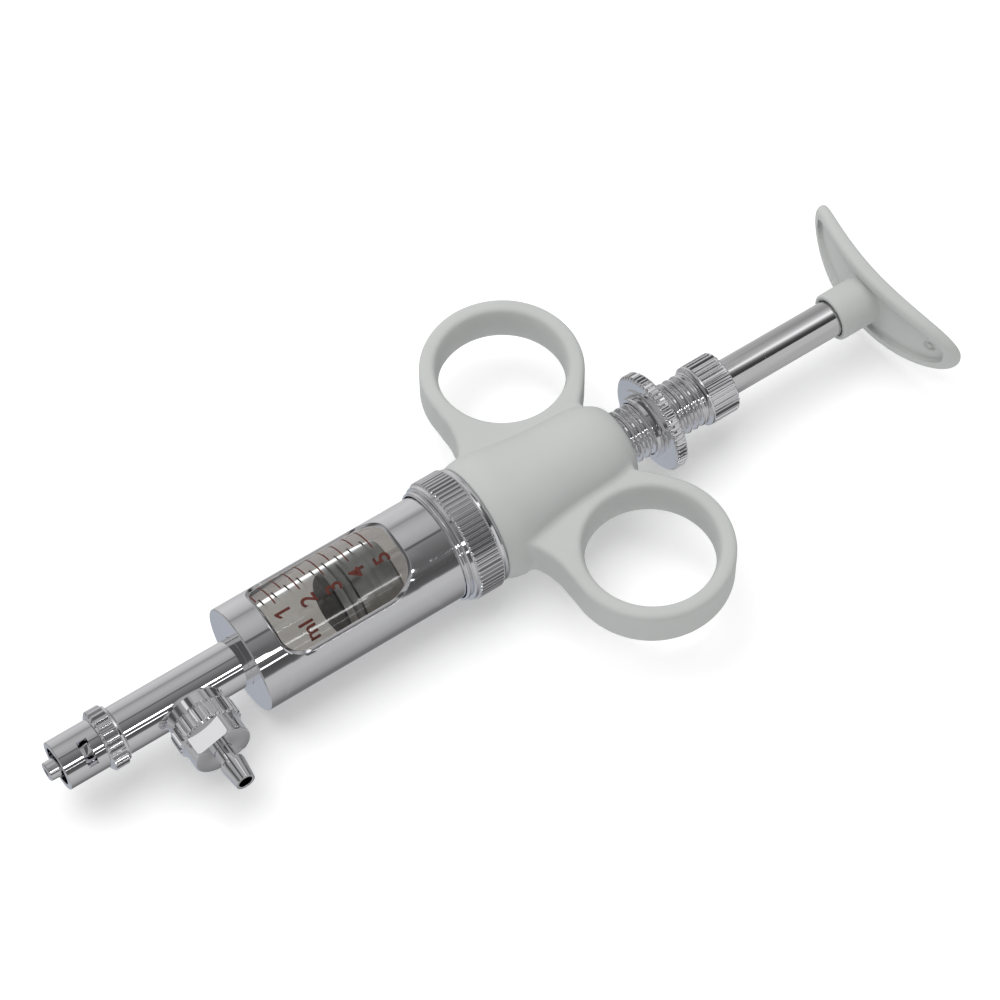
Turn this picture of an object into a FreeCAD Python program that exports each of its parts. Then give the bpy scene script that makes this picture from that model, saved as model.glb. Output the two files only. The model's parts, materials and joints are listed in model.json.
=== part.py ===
import FreeCAD, Part
import math
import os

import Sketcher

# Ring-handled continuous syringe, 5 ml, lying flat.
# Origin: centre of the end face of the Luer cone. +X runs along the plunger axis to the
# palm rest, +Z is the normal of the finger-ring plane, and the hose inlet points along -Y.

SIZES = {
    # metering
    "bore_radius": 7.5,
    "dose_ml": 3,
    "full_ml": 5,
    "dead_gap": 0.2,
    # Luer end
    "tip_radius": 1.97,
    "cone_length": 8.0,
    "cone_slope": 0.03,
    "tip_bore": 0.9,
    "tip_shoulder": 0.4,
    "tip_flange": 0.95,
    "collar_front": 2.4,
    "collar_bore": 4.0,
    "collar_wall": 1.25,
    "collar_depth": 9.3,
    "slot_front": 7.0,
    "slot_length": 2.2,
    "slot_width": 5.6,
    "slot_turn": 32,
    "ring_front": 11.5,
    "ring_length": 3.5,
    "ring_height": 1.25,
    "ring_bevel": 0.6,
    "ring_teeth": 26,
    "ring_lip": 0.7,
    "outlet_seal": 0.7,
    # nozzle tube and outlet valve
    "tube_radius": 5.2,
    "tube_length": 28.2,
    "tube_bore": 1.1,
    "spigot_radius": 4.4,
    "valve_bore": 2.2,
    "valve_depth": 6.5,
    "ball_radius": 1.6,
    "valve_wire": 0.18,
    "valve_turns": 5,
    # hose inlet
    "inlet_place": 15.0,
    "boss_radius": 6.3,
    "boss_height": 1.6,
    "inlet_spigot_radius": 5.0,
    "inlet_spigot_length": 3.2,
    "inlet_valve_depth": 6.6,
    "inlet_knurl_length": 4.15,
    "inlet_knurl_height": 2.0,
    "inlet_bevel": 0.4,
    "inlet_teeth": 30,
    "inlet_nut_end": 2.58,
    "flats_height": 1.27,
    "flats_depth": 1.17,
    "flats_turn": 20,
    "inlet_seal": 1.4,
    "inlet_seal_bore": 1.2,
    "stem_flange": 1.3,
    "stem_radius": 1.88,
    "stem_bore": 1.45,
    "stem_neck": 3.22,
    "barb_land": 0.8,
    "barb_radius": 2.6,
    "barb_tip_radius": 2.05,
    "barb_length": 5.1,
    # barrel
    "glass_wall": 3.3,
    "glass_spare": 0.5,
    "barrel_wall": 1.2,
    "shell_wall": 0.65,
    "front_chamfer": 0.4,
    "nozzle_flange": 1.3,
    "front_seal": 1.6,
    "window_before": 1.9,
    "window_after": 4.6,
    "window_angle": 57,
    "window_front_corner": 5.5,
    "window_rear_corner": 7.5,
    "rear_seal": 1.0,
    "guide_length": 4.0,
    "guide_recess": 3.0,
    "shell_flange": 2.0,
    "shell_flange_height": 0.85,
    # union nut
    "nut_reach": 5.5,
    "nut_hold": 4.2,
    "nut_lip_height": 0.7,
    "nut_knurl_place": 2.6,
    "nut_knurl_length": 5.6,
    "nut_bevel": 0.8,
    "nut_height": 1.9,
    "nut_end_height": 1.4,
    "nut_teeth": 72,
    # handle
    "body_step": 0.1,
    "body_swell": 0.5,
    "swell_place": 4.0,
    "body_rear_radius": 10.9,
    "dome_length": 7.8,
    "dome_wall": 0.9,
    "thread_hold": 7.0,
    "chamber_gap": 0.4,
    "finger_place": 24.8,
    "finger_space": 0.4,
    "finger_bore": 13.3,
    "finger_wall": 3.9,
    "finger_half": 4.7,
    "finger_round": 1.3,
    "web_half": 4.3,
    "web_place": 3.9,
    "web_round": 2.4,
    # plunger
    "rod_radius": 4.0,
    "rod_spigot": 2.6,
    "piston_length": 13.5,
    "piston_gap": 0.06,
    "piston_bevel": 0.4,
    "seal_offset": 2.0,
    "seal_wire": 1.0,
    "seal_space": 0.1,
    "stop_length": 2.98,
    "stop_height": 2.9,
    "spring_wire": 0.7,
    "spring_turns": 6,
    "spring_spare": 0.45,
    # dose sleeve and lock nut
    "buffer_length": 2.0,
    "buffer_step": 0.4,
    "thread_radius": 6.0,
    "thread_pitch": 1.75,
    "thread_depth": 0.75,
    "sleeve_thread": 35.1,
    "sleeve_bevel": 0.5,
    "knob_length": 7.4,
    "knob_height": 0.8,
    "knob_bevel": 0.4,
    "knob_lip": 1.2,
    "knob_teeth": 40,
    "washer_place": 5.2,
    "washer_length": 1.6,
    "washer_height": 1.0,
    "disc_length": 3.2,
    "disc_height": 5.0,
    "disc_step_height": 2.2,
    "disc_step": 0.5,
    "disc_bevel": 0.4,
    "disc_teeth": 56,
    # palm rest
    "hub_wall": 1.3,
    "hub_depth": 7.4,
    "hub_bevel": 0.5,
    "palm_offset": 8.2,
    "palm_thick": 3.2,
    "palm_curve": 47.6,
    "palm_back_curve": 54.0,
    "palm_half_length": 24.0,
    "palm_half_width": 8.8,
    "palm_rim": 2.6,
    "palm_recess": 0.8,
    # clearances
    "slide_gap": 0.06,
    "thread_gap": 0.06,
    "flange_gap": 0.15,
    "fit_gap": 0.05,
    "face_gap": 0.02,
    # knurling
    "knurl_depth": 0.35,
    "knurl_share": 0.72,
}

MILLILITRE = 1000
NOTHING = 1e-6


class Size:
    """A number together with the sheet expression that it comes from."""

    def __init__(self, value, text):
        self.value = float(value)
        self.text = text

    @staticmethod
    def of(other):
        return other if isinstance(other, Size) else Size(other, repr(other))

    def joined(self, other, sign, value):
        return Size(value, "(" + self.text + " " + sign + " " + Size.of(other).text + ")")

    def __add__(self, other):
        return self.joined(other, "+", self.value + Size.of(other).value)

    def __sub__(self, other):
        return self.joined(other, "-", self.value - Size.of(other).value)

    def __mul__(self, other):
        return self.joined(other, "*", self.value * Size.of(other).value)

    def __truediv__(self, other):
        return self.joined(other, "/", self.value / Size.of(other).value)

    def __neg__(self):
        return Size(-self.value, "(0 - " + self.text + ")")


PI = Size(math.pi, "pi")


def size(name):
    return Size(SIZES[name], SHEET + name)


def leg(slant, side):
    """The other short side of a right-angled triangle."""
    value = math.sqrt(slant.value ** 2 - side.value ** 2)
    return Size(value, "sqrt(" + slant.text + " ^ 2 - " + side.text + " ^ 2)")


def sine(degrees):
    return Size(math.sin(math.radians(degrees.value)), "sin(" + degrees.text + ")")


def bind(item, field, amount):
    """Tie a property of a document object to the sheet."""
    item.setExpression(field, Size.of(amount).text)


def put_at(item, turn=None, **base):
    """Place an object: a fixed turn, and a position tied to the sheet."""
    item.Placement = FreeCAD.Placement(FreeCAD.Vector(), turn or FreeCAD.Rotation())
    for axis, amount in base.items():
        bind(item, "Placement.Base." + axis, amount)
    return item


def plane(body, role):
    return next(item for item in body.Origin.OriginFeatures if item.Role == role)


def sketch_on(body, role, offset=None):
    sketch = body.newObject("Sketcher::SketchObject", body.Name + "_sketch")
    sketch.AttachmentSupport = [(plane(body, role), "")]
    sketch.MapMode = "FlatFace"
    if offset is not None:
        bind(sketch, "AttachmentOffset.Base.z", offset)
    return sketch


def pin_coordinate(sketch, corner, kind, axis, amount):
    """Hold one coordinate of a corner, on the axis or at a distance tied to the sheet."""
    amount = Size.of(amount)
    if amount.value == 0:
        sketch.addConstraint(Sketcher.Constraint("PointOnObject", corner, 1, axis))
        return
    rule = Sketcher.Constraint(kind, -1, 1, corner, 1, amount.value)
    place = sketch.addConstraint(rule)
    bind(sketch, "Constraints[" + str(place) + "]", amount)


def polygon(sketch, corners):
    """A closed outline whose corners all take their places from the sheet."""
    points = [FreeCAD.Vector(Size.of(a).value, Size.of(b).value, 0) for a, b in corners]
    count = len(points)
    for number, point in enumerate(points):
        sketch.addGeometry(Part.LineSegment(point, points[(number + 1) % count]), False)
    for number in range(count):
        follow = (number + 1) % count
        sketch.addConstraint(Sketcher.Constraint("Coincident", number, 2, follow, 1))
    for number, (across, up) in enumerate(corners):
        pin_coordinate(sketch, number, "DistanceX", -2, across)
        pin_coordinate(sketch, number, "DistanceY", -1, up)


def turned(label, corners):
    """A body of revolution about its own X axis, from (distance along, radius) corners."""
    body = DOC.addObject("PartDesign::Body", label)
    sketch = sketch_on(body, "XZ_Plane")
    polygon(sketch, corners)
    lathe = body.newObject("PartDesign::Revolution", label + "_lathe")
    lathe.Profile = sketch
    lathe.ReferenceAxis = (sketch, ["H_Axis"])
    lathe.Angle = 360
    sketch.Visibility = False
    return body


def ring(label, start, length, bore, outer):
    end = start + length
    return turned(label, [(start, bore), (start, outer), (end, outer), (end, bore)])


def must_shrink(body, before, what):
    if body.Shape.Volume >= before - NOTHING:
        raise ValueError(what + " cut nothing from " + body.Label)


def knurl(body, start, length, radius, teeth):
    """Straight knurling: one V groove along the body's X axis, repeated round it."""
    DOC.recompute()
    before = body.Shape.Volume
    half = PI * radius / teeth * size("knurl_share")
    proud = size("knurl_depth")
    sketch = sketch_on(body, "YZ_Plane", start)
    polygon(sketch, [(-half * 2, radius + proud), (half * 2, radius + proud), (0, radius - proud)])
    groove = body.newObject("PartDesign::Pocket", body.Name + "_groove")
    groove.Profile = sketch
    groove.Reversed = True
    bind(groove, "Length", length)
    pattern = body.newObject("PartDesign::PolarPattern", body.Name + "_knurl")
    pattern.Originals = [groove]
    pattern.Axis = (sketch, ["N_Axis"])
    pattern.Angle = 360
    bind(pattern, "Occurrences", teeth)
    body.Tip = pattern
    DOC.recompute()
    must_shrink(body, before, "knurling")
    return body


def ridges(body, start, end, radius, pitch, depth):
    """A screw thread shown as ring grooves at the pitch of the thread."""
    DOC.recompute()
    before = body.Shape.Volume
    count = int((end.value - start.value) / pitch.value)
    middle = start + pitch / 2
    sketch = sketch_on(body, "XZ_Plane")
    polygon(sketch, [
        (middle - pitch * 0.4, radius + depth * 0.1),
        (middle + pitch * 0.4, radius + depth * 0.1),
        (middle + pitch * 0.1, radius - depth),
        (middle - pitch * 0.1, radius - depth),
    ])
    groove = body.newObject("PartDesign::Groove", body.Name + "_groove")
    groove.Profile = sketch
    groove.ReferenceAxis = (sketch, ["H_Axis"])
    groove.Angle = 360
    pattern = body.newObject("PartDesign::LinearPattern", body.Name + "_thread")
    pattern.Originals = [groove]
    pattern.Direction = (sketch, ["H_Axis"])
    bind(pattern, "Length", pitch * (count - 1))
    pattern.Occurrences = count
    body.Tip = pattern
    DOC.recompute()
    must_shrink(body, before, "threading")
    return body


def spring(label, start, end, middle_radius, wire, turns):
    """A helical compression spring round its own X axis, between two seats."""
    body = DOC.addObject("PartDesign::Body", label)
    sketch = sketch_on(body, "XZ_Plane")
    middle = FreeCAD.Vector(start.value + wire.value, middle_radius.value, 0)
    sketch.addGeometry(Part.Circle(middle, FreeCAD.Vector(0, 0, 1), wire.value / 2), False)
    rule = sketch.addConstraint(Sketcher.Constraint("Radius", 0, wire.value / 2))
    bind(sketch, "Constraints[" + str(rule) + "]", wire / 2)
    seat = start + wire * 0.6
    for kind, amount in (("DistanceX", seat), ("DistanceY", middle_radius)):
        rule = sketch.addConstraint(Sketcher.Constraint(kind, -1, 1, 0, 3, amount.value))
        bind(sketch, "Constraints[" + str(rule) + "]", amount)
    coil = body.newObject("PartDesign::AdditiveHelix", label + "_coil")
    coil.Profile = sketch
    coil.ReferenceAxis = (sketch, ["H_Axis"])
    coil.Mode = "height-turns-angle"
    bind(coil, "Height", end - start - wire * 1.2)
    bind(coil, "Turns", turns)
    return body


def cylinder(label, radius, length, turn=None, **base):
    item = DOC.addObject("Part::Cylinder", label)
    bind(item, "Radius", radius)
    bind(item, "Height", length)
    return put_at(item, turn, **base)


def box(label, along, across, up, turn=None, **base):
    item = DOC.addObject("Part::Box", label)
    bind(item, "Length", along)
    bind(item, "Width", across)
    bind(item, "Height", up)
    return put_at(item, turn, **base)


def fuse(label, *shapes):
    item = DOC.addObject("Part::MultiFuse", label)
    item.Shapes = list(shapes)
    return item


def common(label, first, second):
    item = DOC.addObject("Part::Common", label)
    item.Base = first
    item.Tool = second
    return item


def cut(label, base, *tools):
    """Take the tools away one by one, so that each is seen to remove something."""
    for number, tool in enumerate(tools):
        last = number == len(tools) - 1
        item = DOC.addObject("Part::Cut", label if last else label + "_cut_" + str(number))
        item.Base = base
        item.Tool = tool
        DOC.recompute()
        must_shrink(item, base.Shape.Volume, tool.Label)
        base = item
    return base


# ---- turns that lay a lathe-turned body along another axis

TO_INLET = FreeCAD.Rotation(FreeCAD.Vector(0, 0, 1), -90)
TO_UP = FreeCAD.Rotation(FreeCAD.Vector(0, 1, 0), -90)
X_TO_Y_TO_Z = FreeCAD.Rotation(FreeCAD.Vector(1, 1, 1), 120)


def about_x(angle):
    return FreeCAD.Rotation(FreeCAD.Vector(1, 0, 0), angle)


# ---- places shared by pieces that meet

def start_document():
    document = FreeCAD.newDocument("syringe")
    sheet = document.addObject("Spreadsheet::Sheet", "Sizes")
    for row, (name, value) in enumerate(SIZES.items(), start=1):
        cell = "B" + str(row)
        sheet.set("A" + str(row), name)
        sheet.set(cell, str(value))
        sheet.setAlias(cell, name)
    document.recompute()
    return document


SHEET = "Sizes."
DOC = start_document()

GAP = size("slide_gap")
FIT = size("fit_gap")
FACE = size("face_gap")

# along the plunger axis, from the Luer tip backwards
ML_LENGTH = Size.of(MILLILITRE) / (PI * size("bore_radius") * size("bore_radius"))
DOSE_LENGTH = ML_LENGTH * size("dose_ml")
FULL_LENGTH = ML_LENGTH * size("full_ml")
TIP_BACK = size("collar_depth") + size("tip_flange")
TUBE_FRONT = TIP_BACK + size("outlet_seal")
OUTLET_SEAT = TUBE_FRONT + size("valve_depth")
RING_BACK = size("ring_front") + size("ring_length")
LIP_BACK = RING_BACK + size("ring_lip")
INLET_X = LIP_BACK + size("inlet_place")
BARREL_FRONT = LIP_BACK + size("tube_length")
BARREL_INSIDE = BARREL_FRONT + size("barrel_wall")
FLANGE_BACK = BARREL_INSIDE + size("nozzle_flange")
CHAMBER_FRONT = FLANGE_BACK + size("front_seal")
ZERO_END = CHAMBER_FRONT + size("dead_gap")
PISTON_FRONT = ZERO_END + DOSE_LENGTH
PISTON_BACK = PISTON_FRONT + size("piston_length")
PISTON_SOCKET = PISTON_FRONT + size("piston_length") / 4
GLASS_END = ZERO_END + FULL_LENGTH + size("piston_length") + size("glass_spare")
GUIDE_FRONT = GLASS_END + size("rear_seal")
GUIDE_BACK = GUIDE_FRONT + size("guide_length")
SPRING_SEAT = GUIDE_BACK - size("guide_recess")
NUT_FRONT = GUIDE_BACK - size("nut_reach")
NUT_END = GUIDE_BACK + size("nut_hold")
FINGER_X = NUT_END + size("finger_place")
SPRING_SHUT = size("spring_wire") * (size("spring_turns") + size("spring_spare"))
STOP_FRONT = SPRING_SEAT + SPRING_SHUT + DOSE_LENGTH
STOP_BACK = STOP_FRONT + size("stop_length")
BUFFER_FRONT = STOP_BACK + FACE
CHAMBER_END = BUFFER_FRONT + FULL_LENGTH - DOSE_LENGTH
HANDLE_END = CHAMBER_END + size("thread_hold")
SLEEVE_FRONT = BUFFER_FRONT + size("buffer_length") + FACE
KNOB_FRONT = SLEEVE_FRONT + size("sleeve_thread")
KNOB_BACK = KNOB_FRONT + size("knob_length")
WASHER_FRONT = HANDLE_END + size("washer_place")
DISC_FRONT = WASHER_FRONT + size("washer_length") + FACE
PALM_FRONT = KNOB_BACK + FULL_LENGTH
PALM_PLATE = PALM_FRONT + size("palm_offset")
PALM_SOCKET = PALM_FRONT + size("hub_depth")

# out from the plunger axis
COLLAR_RADIUS = size("collar_bore") + size("collar_wall")
RING_RADIUS = COLLAR_RADIUS + size("ring_height")
INSIDE_RADIUS = size("bore_radius") + size("glass_wall")
SHELL_BORE = INSIDE_RADIUS + FIT
BARREL_RADIUS = SHELL_BORE + size("shell_wall")
SHELL_FLANGE_RADIUS = BARREL_RADIUS + size("shell_flange_height")
NUT_BORE = SHELL_FLANGE_RADIUS + size("flange_gap")
NUT_RADIUS = BARREL_RADIUS + size("nut_height")
NUT_LIP_RADIUS = BARREL_RADIUS + size("nut_lip_height")
NUT_END_RADIUS = BARREL_RADIUS + size("nut_end_height")
BODY_RADIUS = NUT_END_RADIUS - size("body_step")
FINGER_Y = BODY_RADIUS + size("finger_space") + size("finger_bore")
FINGER_OUTER = size("finger_bore") + size("finger_wall")
ROD_BORE = size("rod_radius") + GAP
STOP_RADIUS = size("rod_radius") + size("stop_height")
CHAMBER_RADIUS = STOP_RADIUS + size("chamber_gap")
THREAD_BORE = size("thread_radius") + size("thread_gap")

# out along the hose inlet, from the plunger axis
BOSS_END = size("tube_radius") + size("boss_height")
SPIGOT_END = BOSS_END + size("inlet_spigot_length")
INLET_VALVE_FLOOR = SPIGOT_END - size("inlet_valve_depth")
INLET_SEAL_END = SPIGOT_END + size("inlet_seal")
STEM_SHOULDER = INLET_SEAL_END + size("stem_flange")
STEM_FLANGE_RADIUS = size("inlet_spigot_radius") - FIT * 8
FLATS_END = STEM_SHOULDER + size("inlet_nut_end")
BARB_START = FLATS_END + size("stem_neck")
BARB_END = BARB_START + size("barb_length")


def luer_end():
    """The male cone and the slotted, knurled collar that locks a needle on it."""
    root = size("tip_radius") + size("cone_slope") * size("cone_length")
    flange = size("spigot_radius")
    depth = size("collar_depth")
    turned("luer_cone", [
        (0, size("tip_bore")),
        (0, size("tip_radius")),
        (size("cone_length"), root),
        (depth, root + size("tip_shoulder")),
        (depth, flange),
        (TIP_BACK, flange),
        (TIP_BACK, size("tip_bore")),
    ])
    ring("outlet_seal", TIP_BACK, size("outlet_seal"), size("valve_bore") - FIT, flange)
    lip = RING_RADIUS - size("ring_bevel")
    blank = turned("luer_nut_blank", [
        (size("collar_front"), size("collar_bore")),
        (size("collar_front"), COLLAR_RADIUS),
        (size("ring_front"), COLLAR_RADIUS),
        (size("ring_front"), lip),
        (size("ring_front") + size("ring_bevel"), RING_RADIUS),
        (RING_BACK, RING_RADIUS),
        (RING_BACK, lip),
        (LIP_BACK, lip),
        (LIP_BACK, flange + FIT),
        (depth, flange + FIT),
        (depth, size("collar_bore")),
    ])
    knurl(blank, size("ring_front"), size("ring_length"), RING_RADIUS, size("ring_teeth"))
    slot = box("luer_slots", size("slot_length"), size("slot_width"), RING_RADIUS * 2,
               x=size("slot_front"), y=-size("slot_width") / 2, z=-RING_RADIUS)
    nut = put_at(cut("luer_nut", blank, slot), about_x(SIZES["slot_turn"]))
    bind(nut, "Placement.Rotation.Angle", size("slot_turn"))


def nozzle():
    """The tube from the Luer end to the barrel, with the inlet boss brazed to its side."""
    body = turned("nozzle_tube_body", [
        (TUBE_FRONT, 0),
        (TUBE_FRONT, size("spigot_radius")),
        (LIP_BACK, size("spigot_radius")),
        (LIP_BACK, size("tube_radius")),
        (BARREL_INSIDE, size("tube_radius")),
        (BARREL_INSIDE, INSIDE_RADIUS),
        (FLANGE_BACK, INSIDE_RADIUS),
        (FLANGE_BACK, 0),
    ])
    boss = turned("inlet_boss", [
        (0, 0),
        (0, size("spigot_radius")),
        (INLET_VALVE_FLOOR, size("boss_radius")),
        (BOSS_END, size("boss_radius")),
        (BOSS_END, size("inlet_spigot_radius")),
        (SPIGOT_END, size("inlet_spigot_radius")),
        (SPIGOT_END, 0),
    ])
    put_at(boss, TO_INLET, x=INLET_X)
    bore = turned("nozzle_bore", [
        (TUBE_FRONT, 0),
        (TUBE_FRONT, size("valve_bore")),
        (OUTLET_SEAT, size("valve_bore")),
        (OUTLET_SEAT, size("tube_bore")),
        (FLANGE_BACK, size("tube_bore")),
        (FLANGE_BACK, 0),
    ])
    side_bore = turned("inlet_bore", [
        (0, 0),
        (0, size("tube_bore")),
        (INLET_VALVE_FLOOR, size("tube_bore")),
        (INLET_VALVE_FLOOR, size("valve_bore")),
        (SPIGOT_END, size("valve_bore")),
        (SPIGOT_END, 0),
    ])
    put_at(side_bore, TO_INLET, x=INLET_X)
    cut("nozzle_tube", fuse("nozzle_tube_solid", body, boss), bore, side_bore)


def ball(label, x, y):
    item = DOC.addObject("Part::Sphere", label)
    bind(item, "Radius", size("ball_radius"))
    return put_at(item, None, x=x, y=y)


def valves():
    """A ball, held on its seat by a light spring, in the outlet and in the inlet."""
    radius = size("ball_radius")
    wire, turns = size("valve_wire"), size("valve_turns")
    coil = size("valve_bore") - wire * 2
    outlet = OUTLET_SEAT - leg(radius, size("tube_bore")) - FACE
    ball("outlet_valve_ball", outlet, Size.of(0))
    spring("outlet_valve_spring", TIP_BACK, outlet - radius, coil, wire, turns)
    inlet = SPIGOT_END - leg(radius, size("inlet_seal_bore")) - FACE
    ball("inlet_valve_ball", INLET_X, -inlet)
    coils = spring("inlet_valve_spring", INLET_VALVE_FLOOR, inlet - radius, coil, wire, turns)
    put_at(coils, TO_INLET, x=INLET_X)


def inlet():
    """The seal, the hose stem and the union nut that holds them on the boss."""
    seal = ring("inlet_seal", SPIGOT_END, size("inlet_seal"),
                size("inlet_seal_bore"), STEM_FLANGE_RADIUS)
    put_at(seal, TO_INLET, x=INLET_X)
    stem = turned("hose_stem", [
        (INLET_SEAL_END, size("stem_bore")),
        (INLET_SEAL_END, STEM_FLANGE_RADIUS),
        (STEM_SHOULDER, STEM_FLANGE_RADIUS),
        (STEM_SHOULDER, size("stem_radius")),
        (BARB_START, size("stem_radius")),
        (BARB_START, size("barb_radius")),
        (BARB_START + size("barb_land"), size("barb_radius")),
        (BARB_END, size("barb_tip_radius")),
        (BARB_END, size("stem_bore")),
    ])
    put_at(stem, TO_INLET, x=INLET_X)
    start = BOSS_END + FIT
    knurl_end = start + size("inlet_knurl_length")
    bevel = size("inlet_bevel")
    radius = size("inlet_spigot_radius") + size("inlet_knurl_height")
    neck = size("inlet_spigot_radius") + size("flats_height")
    thread = size("inlet_spigot_radius") + FIT
    hole = size("stem_radius") + FIT
    blank = turned("inlet_nut_blank", [
        (start, thread),
        (start, radius - bevel),
        (start + bevel, radius),
        (knurl_end - bevel, radius),
        (knurl_end, neck),
        (FLATS_END - bevel, neck),
        (FLATS_END, neck - bevel),
        (FLATS_END, hole),
        (STEM_SHOULDER, hole),
        (STEM_SHOULDER, thread),
    ])
    knurl(blank, start, size("inlet_knurl_length"), radius, size("inlet_teeth"))
    flat = neck - size("flats_depth")
    flats = []
    for side, low in (("upper", flat), ("lower", -flat - radius)):
        flats.append(box(side + "_flat", FLATS_END - knurl_end, radius * 2, radius,
                         x=knurl_end, y=-radius, z=low))
    tilt = TO_INLET.multiply(about_x(SIZES["flats_turn"]))
    put_at(cut("inlet_nut", blank, *flats), tilt, x=INLET_X)


def barrel():
    """The windowed metal shell, the glass in it and what clamps the glass."""
    edge = size("front_chamfer")
    flange_start = GUIDE_BACK - size("shell_flange")
    shell = turned("barrel_tube", [
        (BARREL_FRONT, size("tube_radius") + FIT),
        (BARREL_FRONT, BARREL_RADIUS - edge),
        (BARREL_FRONT + edge, BARREL_RADIUS),
        (flange_start, BARREL_RADIUS),
        (flange_start, SHELL_FLANGE_RADIUS),
        (GUIDE_BACK, SHELL_FLANGE_RADIUS),
        (GUIDE_BACK, SHELL_BORE),
        (BARREL_INSIDE, SHELL_BORE),
        (BARREL_INSIDE, size("tube_radius") + FIT),
    ])
    cut("barrel_shell", shell, window())
    ring("glass_cylinder", CHAMBER_FRONT, GLASS_END - CHAMBER_FRONT,
         size("bore_radius"), INSIDE_RADIUS)
    ring("front_seal", FLANGE_BACK, size("front_seal"), size("tube_bore"), INSIDE_RADIUS)
    ring("rear_seal", GLASS_END, size("rear_seal"), size("bore_radius") + FIT, INSIDE_RADIUS)
    turned("rod_guide", [
        (GUIDE_FRONT, ROD_BORE),
        (GUIDE_FRONT, INSIDE_RADIUS),
        (GUIDE_BACK, INSIDE_RADIUS),
        (GUIDE_BACK, CHAMBER_RADIUS),
        (SPRING_SEAT, CHAMBER_RADIUS),
        (SPRING_SEAT, ROD_BORE),
    ])


def window():
    """A block with rounded upright edges, to be cut through the top of the shell."""
    body = DOC.addObject("PartDesign::Body", "window_block")
    sketch = sketch_on(body, "XY_Plane")
    front = ZERO_END + size("window_before")
    back = ZERO_END + FULL_LENGTH + size("window_after")
    half = BARREL_RADIUS * sine(size("window_angle"))
    polygon(sketch, [(front, -half), (back, -half), (back, half), (front, half)])
    pad = body.newObject("PartDesign::Pad", "window_pad")
    pad.Profile = sketch
    bind(pad, "Length", BARREL_RADIUS * 2)
    DOC.recompute()
    middle = (front.value + back.value) / 2
    base = pad
    for end, is_here in (("front", lambda x: x < middle), ("rear", lambda x: x > middle)):
        names = upright_edges(base.Shape, half.value, is_here)
        corner = body.newObject("PartDesign::Fillet", "window_" + end)
        corner.Base = (base, names)
        bind(corner, "Radius", size("window_" + end + "_corner"))
        DOC.recompute()
        base = corner
    return body


def upright_edges(solid, half, is_here):
    """Names of the corner edges along Z whose X is on the wanted side."""
    names = []
    for number, edge in enumerate(solid.Edges, start=1):
        first, last = edge.Vertexes[0].Point, edge.Vertexes[-1].Point
        upright = abs(first.x - last.x) < NOTHING and abs(first.y - last.y) < NOTHING
        if upright and abs(first.y) > half - NOTHING and is_here(first.x):
            names.append("Edge" + str(number))
    return names


def union_nut():
    """The knurled nut that pulls the shell's flange against the handle."""
    flange_start = GUIDE_BACK - size("shell_flange") - FACE
    bevel = size("nut_bevel")
    knurl_start = NUT_FRONT + size("nut_knurl_place")
    knurl_end = knurl_start + size("nut_knurl_length")
    lip_bore = BARREL_RADIUS + GAP * 2
    blank = turned("union_nut", [
        (NUT_FRONT, lip_bore),
        (NUT_FRONT, NUT_LIP_RADIUS),
        (knurl_start - bevel, NUT_RADIUS - bevel),
        (knurl_start, NUT_RADIUS),
        (knurl_end, NUT_RADIUS),
        (NUT_END, NUT_END_RADIUS),
        (NUT_END, NUT_BORE),
        (flange_start, NUT_BORE),
        (flange_start, lip_bore),
    ])
    knurl(blank, knurl_start, size("nut_knurl_length"), NUT_RADIUS, size("nut_teeth"))


def handle():
    """The moulded grip: a tapered body with a finger ring on each side."""
    spigot = NUT_BORE - size("thread_gap")
    dome = HANDLE_END - size("dome_length")
    end_radius = THREAD_BORE + size("dome_wall")
    body = turned("handle_body", [
        (GUIDE_BACK, 0),
        (GUIDE_BACK, spigot),
        (NUT_END + FIT, spigot),
        (NUT_END + FIT, BODY_RADIUS),
        (NUT_END + size("swell_place"), BODY_RADIUS + size("body_swell")),
        (NUT_END + size("swell_place") * 2, BODY_RADIUS),
        (dome, size("body_rear_radius")),
        (dome + size("dome_length") / 2, (size("body_rear_radius") * 3 + end_radius) / 4),
        (HANDLE_END - size("dome_wall"), end_radius + size("dome_wall")),
        (HANDLE_END, end_radius),
        (HANDLE_END, 0),
    ])
    bore = turned("handle_bore", [
        (GUIDE_BACK, 0),
        (GUIDE_BACK, CHAMBER_RADIUS),
        (CHAMBER_END, CHAMBER_RADIUS),
        (CHAMBER_END, THREAD_BORE),
        (HANDLE_END, THREAD_BORE),
        (HANDLE_END, 0),
    ])
    solids = [body, web()]
    holes = [bore]
    inner = size("finger_bore")
    bevel, height = size("finger_round"), size("finger_half") * 2
    for name, side in (("left", 1), ("right", -1)):
        disc = turned(name + "_ring", [
            (0, 0),
            (0, FINGER_OUTER - bevel),
            (bevel * 0.3, FINGER_OUTER - bevel * 0.3),
            (bevel, FINGER_OUTER),
            (height - bevel, FINGER_OUTER),
            (height - bevel * 0.3, FINGER_OUTER - bevel * 0.3),
            (height, FINGER_OUTER - bevel),
            (height, 0),
        ])
        hole = turned(name + "_hole", [
            (0, 0),
            (0, inner + bevel),
            (bevel * 0.6, inner + bevel * 0.3),
            (height / 2, inner),
            (height - bevel * 0.6, inner + bevel * 0.3),
            (height, inner + bevel),
            (height, 0),
        ])
        for item, group in ((disc, solids), (hole, holes)):
            put_at(item, TO_UP, x=FINGER_X, y=FINGER_Y * side, z=-size("finger_half"))
            group.append(item)
    cut("handle", fuse("handle_solid", *solids), *holes)


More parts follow.
